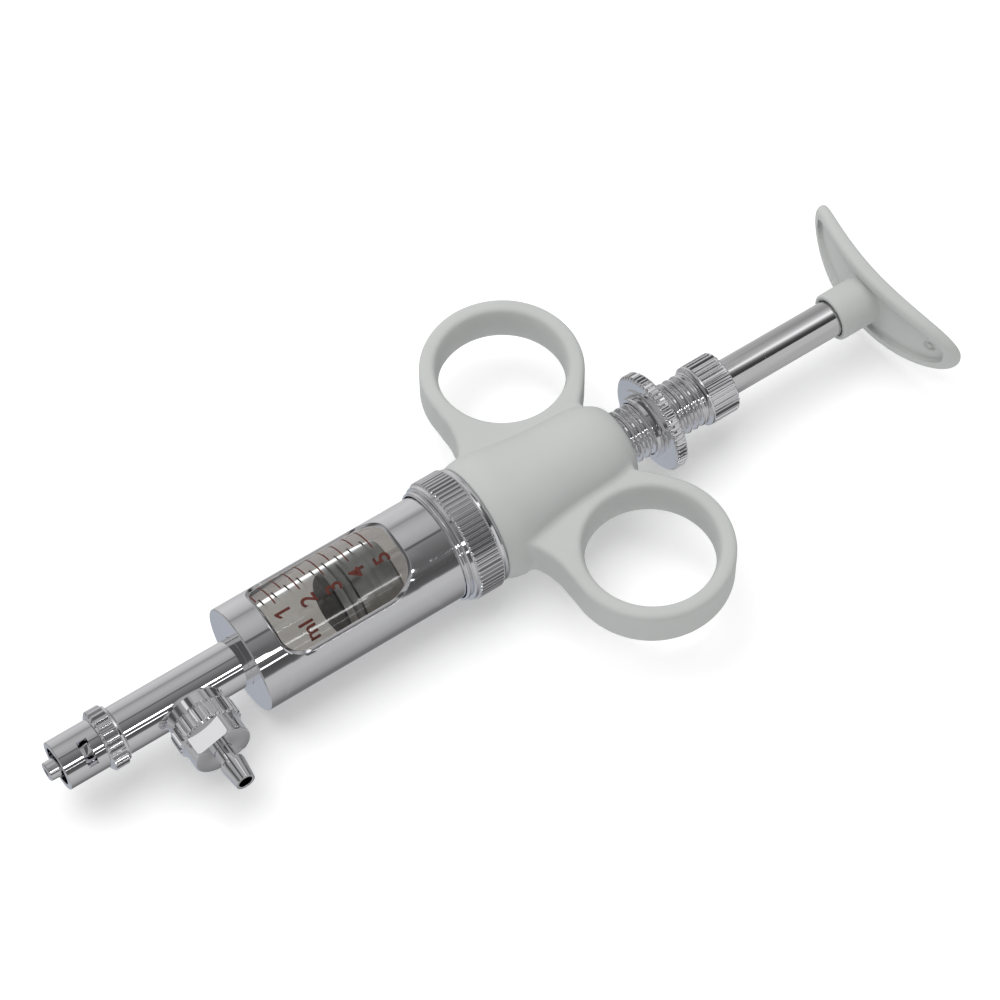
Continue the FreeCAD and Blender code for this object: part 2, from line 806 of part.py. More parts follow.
def web():
    """The flat plate between the body and the rings, waisted in front and behind."""
    body = DOC.addObject("PartDesign::Body", "handle_web")
    sketch = sketch_on(body, "XY_Plane", -size("web_half"))
    front = NUT_END + size("web_place")
    flare = size("web_round")
    ring_front = FINGER_X - FINGER_OUTER
    ring_back = FINGER_X + FINGER_OUTER / 2
    edge = [
        (front, BODY_RADIUS - flare / 2),
        (front + flare / 2, BODY_RADIUS + flare / 2),
        (ring_front - flare / 4, FINGER_Y - FINGER_OUTER / 2),
        (ring_front, FINGER_Y - flare),
        (ring_front, FINGER_Y),
        (FINGER_X, FINGER_Y),
        (ring_back, FINGER_Y - FINGER_OUTER * 0.8),
        (HANDLE_END - flare, size("body_rear_radius") - flare / 2),
    ]
    polygon(sketch, edge + [(along, -across) for along, across in reversed(edge)])
    pad = body.newObject("PartDesign::Pad", "web_pad")
    pad.Profile = sketch
    bind(pad, "Length", size("web_half") * 2)
    return body


def plunger():
    """Piston, seal, rod and the collar that stops the rod against the dose sleeve."""
    outer = size("bore_radius") - size("piston_gap")
    bevel = size("piston_bevel")
    section = size("seal_wire")
    seal_middle = size("bore_radius") - section - FACE / 2
    seal_floor = seal_middle - section - FACE
    groove = PISTON_FRONT + size("seal_offset")
    groove_end = groove + section * 2 + size("seal_space") * 2
    turned("piston", [
        (PISTON_FRONT, 0),
        (PISTON_FRONT, outer - bevel),
        (PISTON_FRONT + bevel, outer),
        (groove, outer),
        (groove, seal_floor),
        (groove_end, seal_floor),
        (groove_end, outer),
        (PISTON_BACK - bevel, outer),
        (PISTON_BACK, outer - bevel),
        (PISTON_BACK, size("rod_spigot")),
        (PISTON_SOCKET, size("rod_spigot")),
        (PISTON_SOCKET, 0),
    ])
    seal = DOC.addObject("Part::Torus", "piston_seal")
    bind(seal, "Radius1", seal_middle)
    bind(seal, "Radius2", section)
    put_at(seal, FreeCAD.Rotation(FreeCAD.Vector(0, 1, 0), 90),
           x=groove + section + size("seal_space"))
    turned("plunger_rod", [
        (PISTON_SOCKET + FACE, 0),
        (PISTON_SOCKET + FACE, size("rod_spigot") - FACE),
        (PISTON_BACK, size("rod_spigot") - FACE),
        (PISTON_BACK, size("rod_radius")),
        (PALM_SOCKET, size("rod_radius")),
        (PALM_SOCKET, 0),
    ])
    ring("stop_collar", STOP_FRONT, size("stop_length"), size("rod_radius") + FACE, STOP_RADIUS)
    wire = size("spring_wire")
    spring("return_spring", SPRING_SEAT, STOP_FRONT, STOP_RADIUS - wire, wire,
           size("spring_turns"))


def dose_stop():
    """The buffer and the threaded, knurled sleeve that set how far the rod returns."""
    radius = size("thread_radius")
    ring("stop_buffer", BUFFER_FRONT, size("buffer_length"), ROD_BORE,
         radius - size("buffer_step"))
    edge = size("sleeve_bevel")
    bevel = size("knob_bevel")
    knob_radius = radius + size("knob_height")
    sleeve = turned("dose_sleeve", [
        (SLEEVE_FRONT, ROD_BORE),
        (SLEEVE_FRONT, radius - edge),
        (SLEEVE_FRONT + edge, radius),
        (KNOB_FRONT, radius),
        (KNOB_FRONT, knob_radius - bevel),
        (KNOB_FRONT + bevel, knob_radius),
        (KNOB_BACK - bevel, knob_radius),
        (KNOB_BACK, knob_radius - bevel),
        (KNOB_BACK, ROD_BORE),
    ])
    lip = size("knob_lip")
    knurl(sleeve, KNOB_FRONT + lip, size("knob_length") - lip, knob_radius, size("knob_teeth"))
    ridges(sleeve, SLEEVE_FRONT + edge, KNOB_FRONT - edge, radius,
           size("thread_pitch"), size("thread_depth"))


def lock():
    """The washer and the knurled disc that jam the dose sleeve against the handle."""
    thread = size("thread_radius")
    ring("lock_washer", WASHER_FRONT, size("washer_length"), THREAD_BORE,
         thread + size("washer_height"))
    back = DISC_FRONT + size("disc_length")
    boss = DISC_FRONT + size("disc_step")
    boss_radius = thread + size("disc_step_height")
    bevel = size("disc_bevel")
    radius = thread + size("disc_height")
    disc = turned("lock_nut", [
        (DISC_FRONT, THREAD_BORE),
        (DISC_FRONT, boss_radius),
        (boss, boss_radius),
        (boss, radius - bevel),
        (boss + bevel, radius),
        (back - bevel, radius),
        (back, radius - bevel),
        (back, THREAD_BORE),
    ])
    knurl(disc, boss, back - boss, radius, size("disc_teeth"))


def oval(label, half_length, half_width):
    """A prism along X with an oval section, long in Y."""
    curve = DOC.addObject("Part::Ellipse", label + "_outline")
    bind(curve, "MajorRadius", half_length)
    bind(curve, "MinorRadius", half_width)
    prism = DOC.addObject("Part::Extrusion", label)
    prism.Base = curve
    prism.DirMode = "Custom"
    prism.Dir = FreeCAD.Vector(0, 0, 1)
    prism.Solid = True
    bind(prism, "LengthFwd", size("palm_curve"))
    return put_at(prism, X_TO_Y_TO_Z, x=PALM_FRONT)


def bent_slab(label, start, front_curve, back_curve, thick):
    """A slab bent round an upright line behind it, thinner towards its ends."""
    tall = size("palm_half_width") * 3
    front = cylinder(label + "_front", front_curve, tall, None,
                     x=start + front_curve, z=-tall / 2)
    back = cylinder(label + "_back", back_curve, tall, None,
                    x=start + thick + back_curve, z=-tall / 2)
    return cut(label, front, back)


def palm_rest():
    """A curved oval pad on a hub, hollowed a little on the side towards the barrel."""
    curve, back_curve = size("palm_curve"), size("palm_back_curve")
    length, width = size("palm_half_length"), size("palm_half_width")
    rim, recess, thick = size("palm_rim"), size("palm_recess"), size("palm_thick")
    plate = common("palm_plate", bent_slab("palm_slab", PALM_PLATE, curve, back_curve, thick),
                   oval("palm_oval", length, width))
    hollow = common("palm_hollow", bent_slab("palm_skin", PALM_PLATE - recess, curve, curve,
                                             recess * 2),
                    oval("palm_inner", length - rim, width - rim))
    hub_radius = size("rod_radius") + size("hub_wall")
    hub_back = PALM_PLATE + thick / 2
    socket_radius = size("rod_radius") + FACE
    hub = turned("palm_hub", [
        (PALM_FRONT, 0),
        (PALM_FRONT, hub_radius - size("hub_bevel")),
        (PALM_FRONT + size("hub_bevel"), hub_radius),
        (hub_back, hub_radius),
        (hub_back, 0),
    ])
    socket = turned("palm_socket", [
        (PALM_FRONT, 0),
        (PALM_FRONT, socket_radius),
        (PALM_SOCKET, socket_radius),
        (PALM_SOCKET, 0),
    ])
    cut("palm_rest", fuse("palm_solid", cut("palm_dished", plate, hollow), hub), socket)


NODES = [
    "luer_cone", "luer_nut", "outlet_seal", "outlet_valve_ball", "outlet_valve_spring",
    "nozzle_tube", "inlet_valve_ball", "inlet_valve_spring", "inlet_seal", "hose_stem",
    "inlet_nut", "front_seal", "barrel_shell", "glass_cylinder", "rear_seal", "rod_guide",
    "union_nut", "handle", "return_spring", "piston", "piston_seal", "plunger_rod",
    "stop_collar", "palm_rest", "stop_buffer", "dose_sleeve", "lock_washer", "lock_nut",
]


def check_and_write():
    DOC.recompute()
    faults = [item.Label for item in DOC.Objects if {"Invalid", "Error"} & set(item.State)]
    if faults:
        raise ValueError("failed objects: " + ", ".join(faults))
    os.makedirs("parts", exist_ok=True)
    by_label = {item.Label: item for item in DOC.Objects}
    for node in NODES:
        shape = by_label[node].Shape
        if shape.isNull() or not shape.isValid() or len(shape.Solids) != 1:
            raise ValueError(node + " is not one valid solid")
    for node in NODES:
        by_label[node].Shape.exportStep("parts/" + node + ".step")


for build in (luer_end, nozzle, valves, inlet, barrel, union_nut, handle, plunger,
              dose_stop, lock, palm_rest):
    build()
check_and_write()
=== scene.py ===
import json
import math

import bmesh
import bpy
import numpy as np
import openvdb
from mathutils import Matrix, Vector

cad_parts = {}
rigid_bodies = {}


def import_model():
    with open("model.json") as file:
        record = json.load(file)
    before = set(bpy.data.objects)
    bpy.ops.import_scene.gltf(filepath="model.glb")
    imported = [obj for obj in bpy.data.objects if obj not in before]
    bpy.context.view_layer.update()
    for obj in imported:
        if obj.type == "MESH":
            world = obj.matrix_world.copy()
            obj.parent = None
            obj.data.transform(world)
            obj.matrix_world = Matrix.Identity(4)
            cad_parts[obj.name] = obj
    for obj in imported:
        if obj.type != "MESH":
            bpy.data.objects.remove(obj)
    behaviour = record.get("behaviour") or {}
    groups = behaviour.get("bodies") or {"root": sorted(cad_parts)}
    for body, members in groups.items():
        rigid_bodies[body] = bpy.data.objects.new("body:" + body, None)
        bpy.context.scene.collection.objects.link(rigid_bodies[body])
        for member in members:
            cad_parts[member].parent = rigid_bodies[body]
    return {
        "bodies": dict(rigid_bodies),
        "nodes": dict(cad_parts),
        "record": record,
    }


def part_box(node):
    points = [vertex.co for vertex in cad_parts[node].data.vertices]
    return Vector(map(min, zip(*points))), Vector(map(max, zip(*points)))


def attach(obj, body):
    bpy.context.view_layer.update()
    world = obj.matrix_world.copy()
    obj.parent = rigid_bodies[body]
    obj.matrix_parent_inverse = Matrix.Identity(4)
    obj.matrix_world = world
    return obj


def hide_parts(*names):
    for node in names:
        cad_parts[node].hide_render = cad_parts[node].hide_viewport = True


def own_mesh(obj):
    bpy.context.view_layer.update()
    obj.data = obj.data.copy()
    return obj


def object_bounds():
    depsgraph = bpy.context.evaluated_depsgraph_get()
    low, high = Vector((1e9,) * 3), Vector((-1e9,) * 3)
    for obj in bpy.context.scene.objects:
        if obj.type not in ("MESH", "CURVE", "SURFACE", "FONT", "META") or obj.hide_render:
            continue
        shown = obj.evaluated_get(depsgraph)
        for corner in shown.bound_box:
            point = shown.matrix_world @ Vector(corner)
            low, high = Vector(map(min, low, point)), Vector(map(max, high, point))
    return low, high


# A ring-handled repeating syringe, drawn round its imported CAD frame. The plunger axis is X, from
# the Luer tip to the palm rest, and the hose inlet points along -Y. Lengths are in millimetres
# up to make(), carve() and ink_patch(), which hand them to Blender in metres.

MM = 0.001
SHARP = 35        # degrees: a steeper edge than this is drawn sharp

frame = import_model()
NODES = frame["nodes"]
CAD_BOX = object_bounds()


# ---- where the CAD pieces are, in millimetres

def span(node, axis=0):
    """Lowest and highest coordinate of a CAD node along an axis."""
    low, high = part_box(node)
    return low[axis] / MM, high[axis] / MM


def radius_of(node):
    """Outer radius of a CAD node that is round about the plunger axis."""
    return span(node, 2)[1]


# ---- materials

class Paint:
    """A node material being put together."""

    def __init__(self, name):
        self.material = bpy.data.materials.new(name)
        self.material.use_nodes = True
        self.tree = self.material.node_tree
        self.shader = self.tree.nodes["Principled BSDF"]

    def set(self, **values):
        for name, value in values.items():
            socket = self.shader.inputs[name.replace("_", " ")]
            socket.default_value = (*value, 1) if isinstance(value, tuple) else value
        return self

    def node(self, kind, **values):
        made = self.tree.nodes.new("ShaderNode" + kind)
        for name, value in values.items():
            if name in made.inputs:
                made.inputs[name].default_value = value
            else:
                setattr(made, name, value)
        return made

    def link(self, source, target):
        self.tree.links.new(source, target)

    def noise(self, scale, detail, stretch=(1, 1, 1)):
        """Noise in the row frame, with scale in grains per metre."""
        place = self.node("TexCoord")
        stretched = self.node("Mapping")
        stretched.inputs["Scale"].default_value = stretch
        grain = self.node("TexNoise", Scale=scale, Detail=detail)
        self.link(place.outputs["Object"], stretched.inputs["Vector"])
        self.link(stretched.outputs["Vector"], grain.inputs["Vector"])
        return grain.outputs["Fac"]

    def ramp(self, source, stops, target):
        """Colours or values along a source, into a socket of the shader."""
        ramp = self.node("ValToRGB")
        elements = ramp.color_ramp.elements
        elements.remove(elements[1])
        for number, (place, value) in enumerate(stops):
            shade = value if isinstance(value, tuple) else (value, value, value)
            element = elements[0] if number == 0 else elements.new(place)
            element.position = place
            element.color = (*shade, 1)
        self.link(source, ramp.inputs["Fac"])
        self.link(ramp.outputs["Color"], self.shader.inputs[target])

    def bump(self, source, strength, distance):
        bump = self.node("Bump", Strength=strength, Distance=distance)
        self.link(source, bump.inputs["Height"])
        self.link(bump.outputs["Normal"], self.shader.inputs["Normal"])


def grained(name, colour=None, rough=None, relief=None, spread=(0.3, 0.7), **settings):
    """A finish whose colour and roughness run between two values with a noise.

    colour and rough are (noise, value, other value), relief is (noise, strength, depth in metres)
    and a noise is (grains per metre, detail), with a stretch where the grain has a direction.
    """
    paint = Paint(name).set(**settings)
    if colour:
        noise, *ends = colour
        paint.ramp(paint.noise(*noise), list(zip(spread, ends)), "Base Color")
    if rough:
        noise, *ends = rough
        paint.ramp(paint.noise(*noise), list(zip((0.3, 0.7), ends)), "Roughness")
    if relief:
        noise, strength, depth = relief
        paint.bump(paint.noise(*noise), strength, depth)
    return paint.material


DRAWN = (900, 3, (0.03, 1, 1))          # fine lines along the syringe
TURNED = (1500, 3, (1, 0.05, 0.05))     # fine rings round it

CHROME = grained("chrome", ((40, 4), (0.83, 0.82, 0.84), (0.88, 0.875, 0.89)),
                 ((900, 5), 0.02, 0.055), ((260, 2), 0.05, 0.00002), (0.35, 0.65), Metallic=1.0)
SATIN = grained("satin_steel", (DRAWN, (0.72, 0.705, 0.71), (0.82, 0.81, 0.815)),
                (DRAWN, 0.06, 0.12), (DRAWN, 0.05, 0.00002), Metallic=1.0)
PISTON = grained("turned_metal", (TURNED, (0.37, 0.36, 0.345), (0.48, 0.47, 0.455)),
                 (TURNED, 0.44, 0.56), (TURNED, 0.1, 0.00003), Metallic=0.85)
PLASTIC = grained("grey_plastic", ((55, 4), (0.490, 0.502, 0.492), (0.522, 0.532, 0.524)),
                  ((2600, 2), 0.42, 0.56), ((5200, 2), 0.22, 0.00004), Specular_IOR_Level=0.42)
GLASS = grained("barrel_glass", rough=((60, 3), 0.0, 0.025), Transmission_Weight=1.0, IOR=1.47,
                Base_Color=(0.97, 0.985, 0.975))
# seal rubber, also laid on the piston's front face as painted shade
RUBBER_AND_PAINTED_SHADE = grained("seal_rubber", ((300, 3), (0.042, 0.041, 0.041), (0.066, 0.065, 0.065)),
                 ((1200, 3), 0.45, 0.65), ((3000, 2), 0.2, 0.00003))
PALE_SEAL = grained("pale_seal", ((300, 3), (0.34, 0.33, 0.32), (0.42, 0.41, 0.40)),
                    ((1200, 3), 0.4, 0.6), ((3000, 2), 0.15, 0.00003))
INK = grained("graduation_ink", ((1800, 4), (0.070, 0.013, 0.008), (0.11, 0.021, 0.013)),
              ((700, 3), 0.38, 0.6))
# the dull inside of the barrel shell, with painted light: a faint glow for light through the glass
LINING_PAINTED_GLOW = grained("lining_painted_glow", ((500, 3), (0.60, 0.57, 0.55), (0.68, 0.65, 0.63)),
                 ((900, 3), 0.5, 0.65), ((2000, 2), 0.1, 0.00002), Metallic=0.2,
                 Emission_Color=(0.95, 0.88, 0.84), Emission_Strength=0.26)

FINISH = {
    "chromed_brass": CHROME,
    "spring_steel": SATIN,
    "barrel_glass": GLASS,
    "seal_rubber": RUBBER_AND_PAINTED_SHADE,
    "grey_plastic": PLASTIC,
}
OWN_FINISH = {
    "plunger_rod": SATIN,
    "piston": PISTON,
    "piston_seal": PALE_SEAL,
    "front_seal": PALE_SEAL,
    "rear_seal": PALE_SEAL,
}


def wear(thing, material):
    thing.data.materials.clear()
    thing.data.materials.append(material)


for part in frame["record"]["subparts"]:
    name = part["node"]
    wear(NODES[name], OWN_FINISH.get(name, FINISH[part["material_slot"]]))


# ---- meshes: built in millimetres, handed to Blender in metres

def make(name, node, shell, sharp=SHARP):
    """An object from points and faces, which takes the place of a CAD node."""
    points, faces = shell
    mesh = bpy.data.meshes.new(name)
    mesh.from_pydata([tuple(point) for point in np.asarray(points) * MM], [], faces)
    work = bmesh.new()
    work.from_mesh(mesh)
    bmesh.ops.remove_doubles(work, verts=work.verts, dist=1e-7)
    bmesh.ops.dissolve_degenerate(work, edges=work.edges, dist=1e-8)
    bmesh.ops.recalc_face_normals(work, faces=work.faces)
    work.to_mesh(mesh)
    work.free()
    thing = bpy.data.objects.new(name, mesh)
    bpy.context.scene.collection.objects.link(thing)
    smooth(thing, sharp)
    settle(thing, node)
    return thing


def smooth(thing, sharp):
    thing.data.shade_smooth()
    thing.data.set_sharp_from_angle(angle=math.radians(sharp))


def settle(thing, node):
    """Give a visual piece its finish and tie it to the node that it stands for."""
    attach(thing, BODY_OF[node])
    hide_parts(node)
    wear(thing, OWN_FINISH.get(node, FINISH[SLOT_OF[node]]))


def weighted(thing):
    """Let a piece's large faces decide its shading, so that they look flat."""
    normals = thing.modifiers.new("normals", "WEIGHTED_NORMAL")
    normals.keep_sharp = True
    return thing


def joined(*shells):
    """Several shells as one."""
    points, faces = [], []
    for some_points, some_faces in shells:
        start = len(points)
        points.extend(some_points)
        faces.extend(tuple(start + corner for corner in face) for face in some_faces)
    return points, faces


FILLET_STEPS = 4


def rounded(corners):
    """A closed profile from corners (along, radius, fillet), with its fillets drawn."""
    out = []
    for number, corner in enumerate(corners):
        here = np.array(corner[:2], float)
        fillet = corner[2] if len(corner) > 2 else 0
        if not fillet:
            out.append(tuple(here))
            continue
        before = np.array(corners[number - 1][:2], float) - here
        after = np.array(corners[(number + 1) % len(corners)][:2], float) - here
        before /= np.linalg.norm(before)
        after /= np.linalg.norm(after)
        half = math.acos(max(-1.0, min(1.0, before @ after))) / 2
        middle = (before + after) / np.linalg.norm(before + after)
        centre = here + middle * fillet / math.sin(half)
        start = here + before * fillet / math.tan(half) - centre
        end = here + after * fillet / math.tan(half) - centre
        sweep = math.pi - 2 * half
        for step in range(FILLET_STEPS + 1):
            share = step / FILLET_STEPS
            arm = math.sin((1 - share) * sweep) * start + math.sin(share * sweep) * end
            out.append(tuple(centre + arm / math.sin(sweep)))
    return out


def placed(along, radius, turn, axis, at):
    """Points round the plunger axis, from at, or round the inlet axis, which crosses it at at."""
    across, up = radius * np.cos(turn), radius * np.sin(turn)
    if axis == "x":
        return np.stack((along + at, across, up), -1)
    return np.stack((at + across, -along, up), -1)


def lathe(profile, angles, relief=None, axis="x", at=0.0):
    """A closed profile (along, radius) turned about the plunger axis or the inlet axis."""
    if isinstance(angles, int):
        angles = np.arange(angles) * 2 * math.pi / angles
    profile = np.array(profile, float)
    along = profile[:, :1] + 0 * angles[None, :]
    radius = profile[:, 1:] + 0 * angles[None, :]
    turn = angles[None, :] + 0 * along
    if relief:
        radius = relief(along, radius, turn)
    grid = placed(along, radius, turn, axis, at)
    rows, columns = along.shape
    faces = []
    for row in range(rows):
        other = (row + 1) % rows
        for column in range(columns):
            beside = (column + 1) % columns
            faces.append((row * columns + column, other * columns + column,
                          other * columns + beside, row * columns + beside))
    return list(grid.reshape(-1, 3)), faces


def turned(name, node, corners, angles, *more, sharp=SHARP):
    """A turned piece from the corners of its profile; more goes on to lathe()."""
    return make(name, node, lathe(rounded(corners), angles, *more), sharp)


# one groove between two teeth: share of the pitch, share of the depth
TOOTH = np.array([
    (0.00, 0.0), (0.14, 0.0), (0.20, 0.12), (0.34, 0.75), (0.43, 1.0),
    (0.57, 1.0), (0.66, 0.75), (0.80, 0.12), (0.86, 0.0), (1.00, 0.0),
])


def teeth_angles(teeth):
    """Where a lathe needs its points for knurl() to show every groove."""
    return (np.arange(teeth)[:, None] + TOOTH[None, :-1, 0]).ravel() * 2 * math.pi / teeth


def knurl(teeth, top, depth, low, high=math.inf):
    """Straight grooves round a rim whose highest radius is top."""
    def relief(along, radius, turn):
        share = (turn * teeth / (2 * math.pi)) % 1
        groove = top - depth * np.interp(share, TOOTH[:, 0], TOOTH[:, 1])
        inside = (along >= low) & (along <= high)
        return np.where(inside, np.minimum(radius, groove), radius)
    return relief


def thread(pitch, top, depth, low, high):
    """A right-hand thread with round crests, running out at both ends."""
    def relief(along, radius, turn):
        phase = (along / pitch - turn / (2 * math.pi)) % 1
        away = np.abs(((phase + 0.5) % 1) - 0.5) * 2
        fade = np.clip((along - low) / pitch, 0, 1) * np.clip((high - along) / pitch, 0, 1)
        cut = depth * (0.12 * away + 0.88 * away ** 2.4) * fade
        inside = (along >= low) & (along <= high) & (radius > top - depth)
        return np.where(inside, np.minimum(radius, top - cut), radius)
    return relief


def coil(start, end, middle, wire, turns, axis="x", at=0.0):
    """A compression spring of wire radius wire, with its end turns closed and ground."""
    sides, per_turn = 12, 48
    count = turns * per_turn
    share = np.linspace(0, 1, count + 1)
    closed = 0.9 / turns        # share of the wire in a closed end turn
    climb = np.clip((share - closed) / (1 - 2 * closed), 0, 1)
    flat = np.clip(share / closed, 0, 1) + np.clip((share - 1 + closed) / closed, 0, 1)
    low, high = start + wire, end - wire
    along = low + wire * flat + (high - low - 2 * wire) * climb
    turn = share * turns * 2 * math.pi
    ring = np.arange(sides) * 2 * math.pi / sides
    radius = middle + wire * np.cos(ring)[None, :]
    place = np.clip(along[:, None] + wire * np.sin(ring)[None, :], start, end)
    grid = placed(place, radius, turn[:, None], axis, at)
    faces = []
    for row in range(count):
        for side in range(sides):
            beside = (side + 1) % sides
            faces.append((row * sides + side, row * sides + beside,
                          (row + 1) * sides + beside, (row + 1) * sides + side))
    faces.append(tuple(range(sides)))
    faces.append(tuple(count * sides + side for side in reversed(range(sides))))
    return list(grid.reshape(-1, 3)), faces


def carve(thing, cutter):
    """Take a cutter away from a piece, for good."""
    block = bpy.data.meshes.new("cutter")
    block.from_pydata([tuple(point) for point in np.asarray(cutter[0]) * MM], [], cutter[1])
    tool = bpy.data.objects.new("cutter", block)
    bpy.context.scene.collection.objects.link(tool)
    cut = thing.modifiers.new("cut", "BOOLEAN")
    cut.operation, cut.solver, cut.object = "DIFFERENCE", "EXACT", tool
    graph = bpy.context.evaluated_depsgraph_get()
    mesh = bpy.data.meshes.new_from_object(thing.evaluated_get(graph))
    thing.modifiers.clear()
    thing.data = mesh
    bpy.data.objects.remove(tool)
    smooth(thing, SHARP)


# ---- moulded shapes: distance fields turned into a mesh and drawn onto the surface

def blend_min(one, two, width):
    """Union of two fields, with a fillet about width wide."""
    share = np.clip(0.5 + 0.5 * (two - one) / width, 0, 1)
    return two * (1 - share) + one * share - width * share * (1 - share)


def blend_max(one, two, width):
    """Intersection of two fields, with its edge rounded."""
    return -blend_min(-one, -two, width)


def inside_polygon(x, y, corners):
    """Signed distance to a plane polygon, negative inside."""
    best = np.full(x.shape, 1e9)
    side = np.ones(x.shape)
    for number, (ax, ay) in enumerate(corners):
        bx, by = corners[number - 1]
        ex, ey = bx - ax, by - ay
        wx, wy = x - ax, y - ay
        share = np.clip((wx * ex + wy * ey) / (ex * ex + ey * ey), 0, 1)
        best = np.minimum(best, (wx - ex * share) ** 2 + (wy - ey * share) ** 2)
        above, below = y >= ay, y < by
        left = ex * wy > ey * wx
        flip = (above & below & left) | (~above & ~below & ~left)
        side = np.where(flip, -side, side)
    return side * np.sqrt(best)


def curve_table(stops):
    """A smooth curve through (along, radius) stops, as two rows of numbers."""
    steps = 400
    stops = np.array(stops, float)
    slope = np.gradient(stops[:, 1], stops[:, 0])
    along = np.linspace(stops[0, 0], stops[-1, 0], steps)
    spot = np.clip(np.searchsorted(stops[:, 0], along, side="right") - 1, 0, len(stops) - 2)
    width = stops[spot + 1, 0] - stops[spot, 0]
    share = (along - stops[spot, 0]) / width
    one, two = stops[spot, 1], stops[spot + 1, 1]
    radius = ((1 + 2 * share) * (1 - share) ** 2 * one + share ** 2 * (3 - 2 * share) * two
              + share * (1 - share) ** 2 * width * slope[spot]
              - share ** 2 * (1 - share) * width * slope[spot + 1])
    return along, radius


def moulded(field, low, high, step):
    """Mesh of a distance field, with every point moved onto the surface itself."""
    low, high = np.array(low, float), np.array(high, float)
    counts = np.ceil((high - low) / step).astype(int) + 1
    axes = [low[axis] + step * np.arange(counts[axis]) for axis in range(3)]
    values = field(*np.meshgrid(*axes, indexing="ij")).astype(np.float32)
    band = 3.0
    grid = openvdb.FloatGrid(background=band)
    grid.copyFromArray(np.clip(values, -band, band))
    grid.transform = openvdb.createLinearTransform(voxelSize=1.0)
    points, quads = grid.convertToQuads(isovalue=0.0)
    points = np.array(points, float) * step + low
    reach, furthest, least_slope = step * 0.05, 0.6 * step, 0.05
    for _ in range(3):
        here = field(*points.T)
        slope = np.stack([
            field(*(points + side).T) - field(*(points - side).T)
            for side in np.eye(3) * reach], -1)
        slope /= 2 * reach
        size = np.maximum((slope ** 2).sum(1), least_slope)
        move = slope * (here / size)[:, None]
        length = np.linalg.norm(move, axis=1)
        move *= np.minimum(1, furthest / np.maximum(length, 1e-9))[:, None]
        points = points - move
    return list(points), [tuple(int(corner) for corner in quad) for quad in quads]


def handle_field(x, y, z):
    """The finger grip: a turned body, with two rings and the webs that carry them."""
    y = np.abs(y)
    ring = np.hypot(x - RING_X, y - RING_Y)
    plan = blend_min(ring - RING_RADIUS, inside_polygon(x, y, WEB), 1.6)
    flat = blend_max(plan, np.abs(z) - RING_HALF, 1.3)
    out = np.hypot(y, z)
    along, radius = GRIP
    # a little fuller behind the nut, on the side away from the window
    swell = 0.75 * np.exp(-((x - NUT_END - 5) / 3.2) ** 2) * np.clip(0.3 - z / 13, 0, 1)
    grip = (out - np.interp(x, along, radius) - swell) * 0.97
    grip = blend_max(grip, x - HANDLE_END, 1.1)
    grip = np.maximum(grip, NUT_END + 0.06 - x)
    solid = blend_min(grip, flat, 1.0)
    spigot = np.maximum(out - 11.6, np.maximum(HANDLE_START - x, x - NUT_END - 2))
    solid = np.minimum(solid, spigot)
    bore = np.where(x < HANDLE_END - 6.5, SPRING_BORE, SLEEVE_BORE)
    solid = np.maximum(solid, bore - out)
    flare = 0.95 * np.clip(np.abs(z) / RING_HALF, 0, 1) ** 2.4
    wall = RING_BORE + flare
    return blend_max(solid, wall - ring, 0.9)


def palm_field(x, y, z):
    """The palm rest: a bent oval plate with a dished front, a hub and an injection pit."""
    half_length, half_width, power = 24.0, 8.8, 2.3
    front = PALM_PLATE + 0.0105 * y * y
    back = PALM_PLATE + 3.2 + y * y / 108
    py, pz = np.abs(y) / half_length, np.abs(z) / half_width
    oval = np.maximum((py ** power + pz ** power) ** (1 / power), 1e-3)
    slope = np.hypot((py / oval) ** (power - 1) / half_length,
                     (pz / oval) ** (power - 1) / half_width)
    edge = (oval - 1) / np.maximum(slope, 0.03)
    lean = 1 / np.sqrt(1 + (0.021 * y) ** 2)
    plate = blend_max((front - x) * lean, (x - back) * lean, 0.5)
    plate = blend_max(plate, edge, 1.3)
    dish_depth, rim = 1.15, 2.5
    dish = blend_max((x - front) * lean - dish_depth, edge + rim, 0.4)
    plate = blend_max(plate, -dish, 0.2)
    out = np.hypot(y, z)
    hub = blend_max(out - 5.3, np.maximum(x - PALM_PLATE - 1.5, HUB_START - x), 0.7)
    solid = blend_min(plate, hub, 0.5)
    pit = np.sqrt((y + 17.6) ** 2 + (z - 0.2) ** 2)
    crater = np.maximum(pit - 1.25, (x - front) * lean - dish_depth - 0.5)
    crater = np.maximum(crater, 0.55 - pit)
    solid = blend_max(solid, -crater, 0.25)
    socket = np.where(x < HUB_START + 0.9, 4.2, 4.03)
    return np.maximum(solid, np.where(x < PALM_BOTTOM, socket - out, -9))


# ---- the barrel shell, its window and the graduations

RUNS = (20, 16, 30, 16, 20, 16, 30, 16)     # points on each side and corner of the window


def window_line(grow, front, back, half):
    """Points (along, arc) round the window opening, grown by so much all round."""
    left, right, top = front - grow, back + grow, half + grow
    near, far = 5.5 + grow, 7.5 + grow
    sides = [
        ((left, -top + near), (left, top - near)), ((left + near, top), (right - far, top)),
        ((right, top - far), (right, -top + far)), ((right - far, -top), (left + near, -top)),
    ]
    corners = [
        (left + near, top - near, near), (right - far, top - far, far),
        (right - far, -top + far, far), (left + near, -top + near, near),
    ]
    line = []
    for number, ((ax, ay), (bx, by)) in enumerate(sides):
        straight, bend = RUNS[2 * number:2 * number + 2]
        for step in range(straight):
            line.append((ax + (bx - ax) * step / straight, ay + (by - ay) * step / straight))
        cx, cy, radius = corners[number]
        for step in range(bend):
            angle = math.radians(180 - 90 * (number + step / bend))
            line.append((cx + radius * math.cos(angle), cy + radius * math.sin(angle)))
    return line


